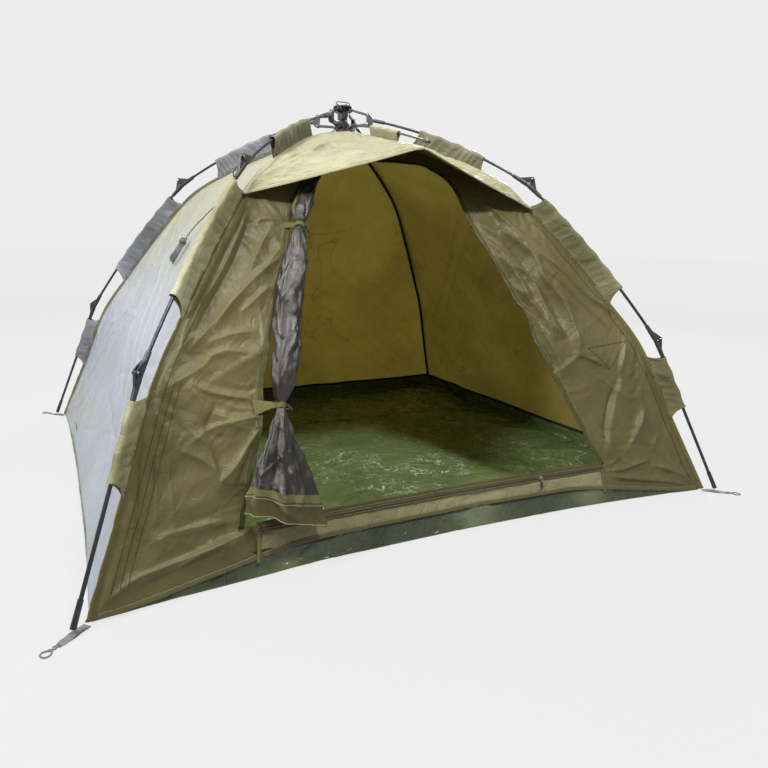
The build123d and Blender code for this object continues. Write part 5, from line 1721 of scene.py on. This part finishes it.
def make_slider():
    zx, z0 = 0.330, 0.122
    base = SILL_AT(zx, z0, 0.0)
    n = normals("front", np.array([zx]), np.array([float(v_of_z("front", z0))]))[0]
    tx = SILL_AT(zx + 0.005, z0, 0.0) - SILL_AT(zx - 0.005, z0, 0.0)
    tx /= np.linalg.norm(tx)
    up = np.cross(tx, n)
    up *= np.sign(up[2])

    def wp(a, b, c):
        return base + tx * a + up * b + n * c
    # body: a shield-shaped plate with a bridge over it
    outline = [(-0.0065, 0.0), (-0.0062, 0.0034), (-0.0035, 0.0050), (0.0030, 0.0046), (0.0068, 0.0028), (0.0072, 0.0), (0.0068, -0.0028), (0.0030, -0.0046), (-0.0035, -0.0050), (-0.0062, -0.0034)]
    parts = []
    for c0, c1 in ((0.0052, 0.0066),):
        vs = [wp(a * (0.9 if c == c1 else 1.0), b * (0.9 if c == c1 else 1.0), c) for c in (c0, c1) for a, b in outline]
        k = len(outline)
        fs = [(i, (i + 1) % k, k + (i + 1) % k, k + i) for i in range(k)] + [tuple(range(k))[::-1], tuple(range(k, 2 * k))]
        parts.append(fix_normals(new_mesh("pl", vs, fs, [M_RIVET], smooth=False)))
    bridge = [wp(a, 0, c) for a, c in ((-0.0042, 0.0062), (-0.0036, 0.0085), (-0.0005, 0.0093), (0.0026, 0.0085), (0.0034, 0.0062))]
    parts.append(sweep("br", bridge, rect(0.0024, 0.0011, 0.0004), [M_RIVET], N=[tuple(n)] * 5))
    # pull: a slotted tag hanging down the slope
    t = np.linspace(0, 2 * np.pi, 60)
    ringp = [wp(0.0002 + 0.0026 * math.cos(v), -0.0052 + 0.0064 * math.sin(v), 0.0086 - 0.0010 * math.sin(v)) for v in t]
    parts.append(sweep("rg", ringp, ring(0.0009, 8), [M_RIVET], cap=False))
    tag = []
    k = 40
    for i in range(k):
        v = 2 * math.pi * i / k
        w = 0.0034 + 0.0012 * (0.5 - 0.5 * math.sin(v))
        tag.append((w * math.cos(v), -0.0235 + 0.0128 * math.sin(v)))
    vs = [wp(a, b, c) for c in (0.0066, 0.0082) for a, b in tag]
    fs = [(i, (i + 1) % k, k + (i + 1) % k, k + i) for i in range(k)] + [tuple(range(k))[::-1], tuple(range(k, 2 * k))]
    parts.append(fix_normals(new_mesh("tg", vs, fs, [M_BLACK], smooth=False)))
    ribs = [[wp(-0.0026, -0.0235 + o, 0.0084), wp(0.0026, -0.0235 + o, 0.0084)] for o in (-0.006, -0.003, 0.0, 0.003)]
    for r_ in ribs:
        parts.append(sweep("rb", [r_[0], (np.array(r_[0]) + r_[1]) / 2, r_[1]], ring(0.0005, 6), [M_BLACK]))
    ob = join(parts, "zip_slider_puller")
    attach(ob, "zip_slider")
    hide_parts("zip_slider")
    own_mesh(ob)


make_slider()


# ------------------------------------------------------------------ floor tub
def tub_ring(z, inset, n=190):
    """Points round the tub at a height, and their outward directions in plan."""
    r = float(seam_r(max(z, 0.006))) - 0.0064 - inset
    x, y = r * CA, r * SA
    pts = []
    for side, sgn in (("front", 1), ("right", 1), ("back", -1), ("left", -1)):
        axis, sign, most = SIDES[side]
        b = float(bow(z, most))
        u = np.linspace(-1, 1, n, endpoint=False) * sgn
        if axis == "y":
            P = np.stack([u * x, sign * (y - b * (1 - u * u))], 1)
        else:
            P = np.stack([sign * (x - b * (1 - u * u)), u * y], 1)
        pts.append(P)
    return np.concatenate(pts)


def make_floor():
    base = tub_ring(0.0, 0.001)
    n = len(base)
    rings = []
    mrad = 190
    t = np.linspace(0.0, 1, mrad) ** 0.85
    for a in t:
        rings.append(np.concatenate([base * max(a, 0.002), np.zeros((n, 1))], 1))
    F = np.array(rings)
    x, y = F[..., 0], F[..., 1]
    h = 0.0034 * (noise2(x, y, 401, 0.30) + 1.2) + 0.0022 * noise2(x, y, 402, 0.11)
    h += creases(x, y, 403, 260, (-1, -0.95), (1, 0.95), length=(0.04, 0.22), amp=(0.0012, 0.0046), width=(0.005, 0.012))
    h += creases(x, y, 404, 60, (-1, -0.95), (1, 0.95), length=(0.2, 0.6), amp=(0.003, 0.0075), width=(0.012, 0.026))
    for i in range(4):
        h += fan(x, y, (-0.6, 0.5, -0.2, 0.3)[i], (-0.7, -0.75, -0.2, 0.45)[i], (40, 120, -30, 200)[i], 70, 8, 0.5, 0.0055, 410 + i)
    edge = np.clip((1 - t) / 0.05, 0, 1)[:, None]
    h = np.clip(h, 0.0, 0.022) * (0.25 + 0.75 * edge) + 0.0016
    F[..., 2] = h
    # walls
    hw = 0.0655
    W = []
    nw = 26
    s = np.arange(n) / n * 2 * np.pi
    per = 8.0
    sx = s / (2 * np.pi) * per
    for k in range(1, nw + 1):
        f = k / nw
        z = 0.0016 + (hw - 0.0016) * f
        ringz = tub_ring(z, 0.0024 * 0)
        ctr = ringz / np.linalg.norm(ringz, axis=1, keepdims=True)
        w = math.sin(math.pi * f) ** 0.8
        off = 0.0034 * noise2(sx, sx * 0 + f * 0.07, 420, 0.075) * w + 0.0020 * noise2(sx, sx * 0 + f * 0.07, 421, 0.03) * w - 0.0030 * w
        off = np.clip(off, -0.014, 0.0005)
        top = 0.0016 * noise2(sx, sx * 0, 422, 0.12) * f
        W.append(np.concatenate([ringz + ctr * off[:, None], np.full((n, 1), z) + top[:, None]], 1))
    A = np.concatenate([F, np.array(W)])
    ob = new_mesh("floor_tub_sheet", A.reshape(-1, 3), grid_faces(n, len(A), close_u=True), [M_FLOOR, M_TUB_OUT])
    # the inside of the sheet faces up
    up = sum(p.normal.z * p.area for p in ob.data.polygons)
    if up < 0:
        ob.data.flip_normals()
    solidify(ob, 0.0007, offset=-1.0, inner_mat=1)
    c = A[-1]
    tape = sweep("tt", np.concatenate([c, c[:1]]) + [0, 0, -0.003], rect(0.0030, 0.012, 0.001), [M_TUBTAPE], cap=False)
    # seams across the floor
    seams = []
    for yy in (-0.32, 0.36):
        xs = np.linspace(-1.0, 1.0, 220)
        hh = 0.0034 * (noise2(xs, xs * 0 + yy, 401, 0.30) + 1.2) + 0.0022 * noise2(xs, xs * 0 + yy, 402, 0.11)
        hh += creases(xs, xs * 0 + yy, 403, 260, (-1, -0.95), (1, 0.95), length=(0.04, 0.22), amp=(0.0012, 0.0046), width=(0.005, 0.012))
        hh += creases(xs, xs * 0 + yy, 404, 60, (-1, -0.95), (1, 0.95), length=(0.2, 0.6), amp=(0.003, 0.0075), width=(0.012, 0.026))
        for i in range(4):
            hh += fan(xs, xs * 0 + yy, (-0.6, 0.5, -0.2, 0.3)[i], (-0.7, -0.75, -0.2, 0.45)[i], (40, 120, -30, 200)[i], 70, 8, 0.5, 0.0055, 410 + i)
        hh = np.clip(hh, 0, 0.022) + 0.0028
        seams.append(sweep("fs", np.stack([xs, xs * 0 + yy, hh], 1), rect(0.012, 0.0016, 0.0006), [M_FLOOR], up0=(0, 0, 1)))
    trim = join([tape] + seams, "floor_tub_trim")
    soft(ob)
    soft(trim)
    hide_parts("floor_tub")
    return ob, trim


M_TUBTAPE = fabric("tub_tape", srgb(34, 42, 26), srgb(26, 33, 20), srgb(46, 54, 34), rough=0.5, amount=0.5, spec=0.2, sheen=0.0)
FLOOR, FLOOR_TRIM = make_floor()


# ------------------------------------------------------------------ foot straps
def make_foot_straps():
    parts = []
    for name in LEGS:
        u, t = leg_frame(name)
        zc = 0.0011
        # the webbing runs out from under the corner and narrows to the loop
        rs = np.linspace(1.387, 1.470, 26)
        P = [u * r + np.array([0, 0, zc + 0.0011 * (0.5 + 0.5 * math.sin(r * 170))]) for r in rs]
        W = [0.022 if r < 1.455 else 0.022 - (r - 1.455) / 0.015 * 0.008 for r in rs]
        parts.append(strap("w1", P, [(0, 0, 1)] * len(P), W, 0.0018, M_WEB))
        # sewn bar across it
        for rb in (1.398, 1.447):
            parts.append(sweep("sb", [u * rb + t * s + np.array([0, 0, zc + 0.0022]) for s in np.linspace(-0.009, 0.009, 9)], ring(0.0007, 6), [M_THREAD]))
        # a second layer of webbing folded back, sewn on the first
        P2 = [u * r + np.array([0, 0, zc + 0.0026 + 0.0014 * math.sin((r - 1.40) * 90)]) for r in np.linspace(1.403, 1.452, 18)]
        parts.append(strap("w2", P2, [(0, 0, 1)] * len(P2), [0.0195] * 18, 0.0016, M_WEB))
        # two strands twisted to the peg loop
        for ph in (0, math.pi):
            q = np.linspace(0, 1, 40)
            pts = [u * (1.464 + 0.026 * f) + t * (0.0042 * math.cos(ph + 7.0 * f) * (1 - 0.0 * f)) + np.array([0, 0, 0.0032 + 0.0019 * math.sin(ph + 7.0 * f)]) for f in q]
            parts.append(rope("tw", np.array(pts), 0.0019, M_LOOPWEB, n=8, pitch=0.007))
        a = np.linspace(0, 2 * np.pi, 61)
        ctr = u * 1.500
        lp = np.array([ctr + u * (0.0112 * math.cos(v)) + t * (0.0108 * math.sin(v)) + np.array([0, 0, 0.0024 + 0.0006 * math.sin(2 * v)]) for v in a])
        parts.append(rope("lp", lp, 0.0021, M_LOOPWEB, n=10, pitch=0.007))
    ob = join(parts, "foot_webbing")
    soft(ob)
    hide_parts("foot_straps")


M_LOOPWEB = webbing_material("loop_webbing", srgb(92, 90, 86), srgb(66, 64, 62))
make_foot_straps()


# ------------------------------------------------------------------ roof hooks, pull loop
def make_hooks():
    parts = []
    for i in range(4):
        a = math.radians(90 * i)
        c = np.array([math.cos(a), math.sin(a), 0])
        s = np.array([-math.sin(a), math.cos(a), 0])
        pts = [(0.0305, 1.2615), (0.0325, 1.2600), (0.040, 1.2530), (0.0462, 1.2452), (0.0520, 1.2420), (0.0580, 1.2398)]
        L = smooth_line(pts, 6)
        P = [c * r + np.array([0, 0, z]) for r, z in L]
        parts.append(strap("hk", P, [tuple(c * 0.6 + np.array([0, 0, 0.8]))] * len(P), np.linspace(0.0080, 0.0100, len(P)), 0.0022, M_BLACK))
        Q = [c * 0.0560 + s * v + np.array([0, 0, 1.2408]) for v in np.linspace(-0.007, 0.007, 7)]
        parts.append(sweep("hb", Q, ring(0.0016, 8), [M_BLACK]))
    ob = join(parts, "roof_hook_straps")
    soft(ob)
    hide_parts("roof_hooks")


make_hooks()


def make_pull_loop():
    a = np.linspace(0, 2 * np.pi, 73)
    P = np.array([(0.0275 * math.cos(v), 0.0008 * math.sin(2 * v), 1.35285 + 0.0068 * math.sin(v) + 0.0009 * math.sin(3 * v)) for v in a])
    lp = rope("pl", P, 0.0021, M_LOOP, n=10, pitch=0.009)
    # it is knotted on the crown, with its ends left long
    t = np.linspace(0, 2 * np.pi * 2.2, 80)
    K = np.array([(0.0125 + 0.0046 * math.cos(v), 0.0004 + 0.0016 * math.sin(v), 1.3479 + 0.0030 * math.sin(v) + 0.0010 * v / 6.28) for v in t])
    kn = rope("kn", K, 0.0014, M_LOOP, n=8, pitch=0.008)
    ob = join([lp, kn], "hub_pull_cord")
    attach(ob, "hub")
    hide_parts("hub_pull_loop")


make_pull_loop()


# ------------------------------------------------------------------ the frame's own parts keep their CAD shape
def paint(node, mat):
    o = NODES[node]
    o.data.materials.clear()
    o.data.materials.append(mat)
    for p in o.data.polygons:
        p.material_index = 0


paint("hub_crown", M_BLACK)
paint("hub_runner", M_BLACK)
for name in LEGS:
    paint(f"upper_arm_{name}", M_POLE)
    paint(f"lower_arm_{name}", M_POLE)
    paint(f"leg_bracket_{name}", M_BLACK)
    paint(f"upper_pole_{name}", M_POLE)
    paint(f"middle_pole_{name}", M_POLE)
    paint(f"lower_pole_{name}", M_POLE)
    for part in ("upper_elbow_fork", "upper_elbow_knuckle", "lower_elbow_fork", "lower_elbow_knuckle"):
        paint(f"{part}_{name}", M_BLACK)


def make_rivets():
    """Domed metal rivet heads at the elbows, which ride with the fork."""
    for name in LEGS:
        u, t = leg_frame(name)
        for lvl, (hr, hz), body in (("upper", (0.714332, 1.079251), "upper_leg"), ("lower", (1.190865, 0.539714), "middle_leg")):
            parts = []
            for sg in (-1, 1):
                c = u * hr + np.array([0, 0, hz]) + t * sg * 0.00800
                prof = [(0.0034, 0.0), (0.0033, 0.0006), (0.0027, 0.0013), (0.0017, 0.0018), (0.0006, 0.0020)]
                k = 20
                vs = []
                e1, e2 = u, np.array([0, 0, 1.0])
                for rr, dd in prof:
                    for i in range(k):
                        a = 2 * math.pi * i / k
                        vs.append(c + e1 * rr * math.cos(a) + e2 * rr * math.sin(a) + t * sg * dd)
                fs = grid_faces(k, len(prof), close_u=True) + [tuple(range((len(prof) - 1) * k, len(prof) * k)), tuple(range(k))[::-1]]
                parts.append(fix_normals(new_mesh("rv", vs, fs, [M_RIVET])))
            ob = join(parts, f"{lvl}_elbow_rivets_{name}")
            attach(ob, f"{body}_{name}")
        # the pins through the crown, the runner and the arm ends
        for tag, (pr, pz), half, body in (("crown_pin", (0.030, 1.330), 0.0086, "hub"), ("arm_pin", (0.100, 1.309), 0.00655, f"upper_leg_{name}"),
                                          ("runner_pin", (0.030, 1.270), 0.0102, "runner"), ("link_pin", (0.100, 1.276), 0.0092, f"lower_arm_{name}")):
            parts = []
            for sg in (-1, 1):
                c = u * pr + np.array([0, 0, pz]) + t * sg * half
                prof = [(0.0032, -0.0002), (0.0031, 0.0006), (0.0024, 0.0012), (0.0010, 0.0015)]
                k = 16
                vs = []
                for rr, dd in prof:
                    for i in range(k):
                        a = 2 * math.pi * i / k
                        vs.append(c + u * rr * math.cos(a) + np.array([0, 0, 1.0]) * rr * math.sin(a) + t * sg * dd)
                fs = grid_faces(k, len(prof), close_u=True) + [tuple(range((len(prof) - 1) * k, len(prof) * k)), tuple(range(k))[::-1]]
                parts.append(fix_normals(new_mesh("pv", vs, fs, [M_RIVET])))
            ob = join(parts, f"{tag}_{name}")
            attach(ob, body)


make_rivets()


# ------------------------------------------------------------------ the area each sheet was cut to, worked out and not kept
def shoelace(P):
    x, y = P[:, 0], P[:, 1]
    return abs(0.5 * float(np.sum(x * np.roll(y, -1) - y * np.roll(x, -1))))


def declare():
    names = [o.name for o in scene.objects]
    pieces = {o.name: o for o in scene.objects}
    sleeves = [pieces[f"sleeves_{n}"] for n in LEGS]
    for side, ob, extra in (("front", FRONT, ["corner_seams", "door_binding", "sill_hem", "front_bottom_hem", "sleeves_front_left", "sleeves_front_right"]),
                            ("back", BACK, ["sleeves_back_left", "sleeves_back_right"]), ("left", LEFT, []), ("right", RIGHT, [])):
        axis = SIDES[side][0]
        pr, w = PROF[axis], (CA if axis == "y" else SA)
        rr = SEAM[:, 0] * w
        tri = float(np.sum((rr[1:] + rr[:-1]) * np.diff(pr)))
        if side == "front":
            d = np.array([(x, float(v_of_z("front", z))) for x, z in DOOR])
            tri -= shoelace(d)


# ------------------------------------------------------------------ stage and light
def make_stage():
    me = bpy.data.meshes.new("ground_stage")
    s = 40
    me.from_pydata([(-s, -s, -0.0008), (s, -s, -0.0008), (s, s, -0.0008), (-s, s, -0.0008)], [], [(0, 1, 2, 3)])
    ob = bpy.data.objects.new("ground_stage", me)
    scene.collection.objects.link(ob)
    m = Mat("stage_floor")
    # pale ground that turns into the backdrop further off
    sep = m.node("ShaderNodeVectorMath")
    sep.operation = "LENGTH"
    m.link(m.pos(), sep.inputs[0])
    far = m.maprange(sep.outputs["Value"], 2.2, 9.0, 0.0, 1.0)
    glow = m.maprange(sep.outputs["Value"], 2.2, 9.0, 0.745, 0.805)
    m.set(Base_Color=m.mix((0.045, 0.045, 0.045), (0.03, 0.03, 0.03), far), Roughness=0.95, Specular_IOR_Level=0.0, Emission_Color=(1.0, 1.0, 1.0), Emission_Strength=glow)
    me.materials.append(m.m)
    w = bpy.data.worlds.new("studio")
    scene.world = w
    w.use_nodes = True
    # an even pale backdrop on the far side, and a dimmer room on the near side
    nt = w.node_tree
    tc = nt.nodes.new("ShaderNodeTexCoord")
    dot = nt.nodes.new("ShaderNodeVectorMath")
    dot.operation = "DOT_PRODUCT"
    nt.links.new(tc.outputs["Generated"], dot.inputs[0])
    dot.inputs[1].default_value = (0.448, 0.894, 0.0)
    mr = nt.nodes.new("ShaderNodeMapRange")
    mr.inputs[1].default_value, mr.inputs[2].default_value = -0.45, 0.35
    mr.inputs[3].default_value, mr.inputs[4].default_value = 0.30, 0.84
    nt.links.new(dot.outputs["Value"], mr.inputs[0])
    nt.links.new(mr.outputs[0], nt.nodes["Background"].inputs[0])
    nt.nodes["Background"].inputs[1].default_value = 1.0

    def area(name, loc, at, size, power, col=(1, 1, 1)):
        l = bpy.data.lights.new(name, "AREA")
        l.shape, l.size, l.energy, l.color = "DISK", size, power, col
        o = bpy.data.objects.new(name, l)
        scene.collection.objects.link(o)
        o.location = loc
        o.rotation_euler = (Vector(at) - Vector(loc)).to_track_quat("-Z", "Y").to_euler()
    area("key_left", (-3.7, -1.5, 3.5), (0, 0, 0.6), 0.8, 245, (1.0, 0.99, 0.96))
    area("top", (-0.6, 0.6, 4.9), (0, 0, 0.8), 1.8, 110, (1.0, 1.0, 0.97))
    area("behind_left", (-3.6, 3.2, 3.0), (0, 0, 0.7), 2.0, 70, (0.93, 0.96, 1.0))
    area("behind_right", (3.2, 3.4, 2.6), (0, 0, 0.6), 2.0, 250, (1.0, 0.98, 0.88))
    area("front_high", (0.2, -3.0, 4.4), (0.1, -0.3, 0.3), 0.6, 225, (1, 1, 1))
    scene.view_settings.view_transform = "Standard"


make_stage()
declare()
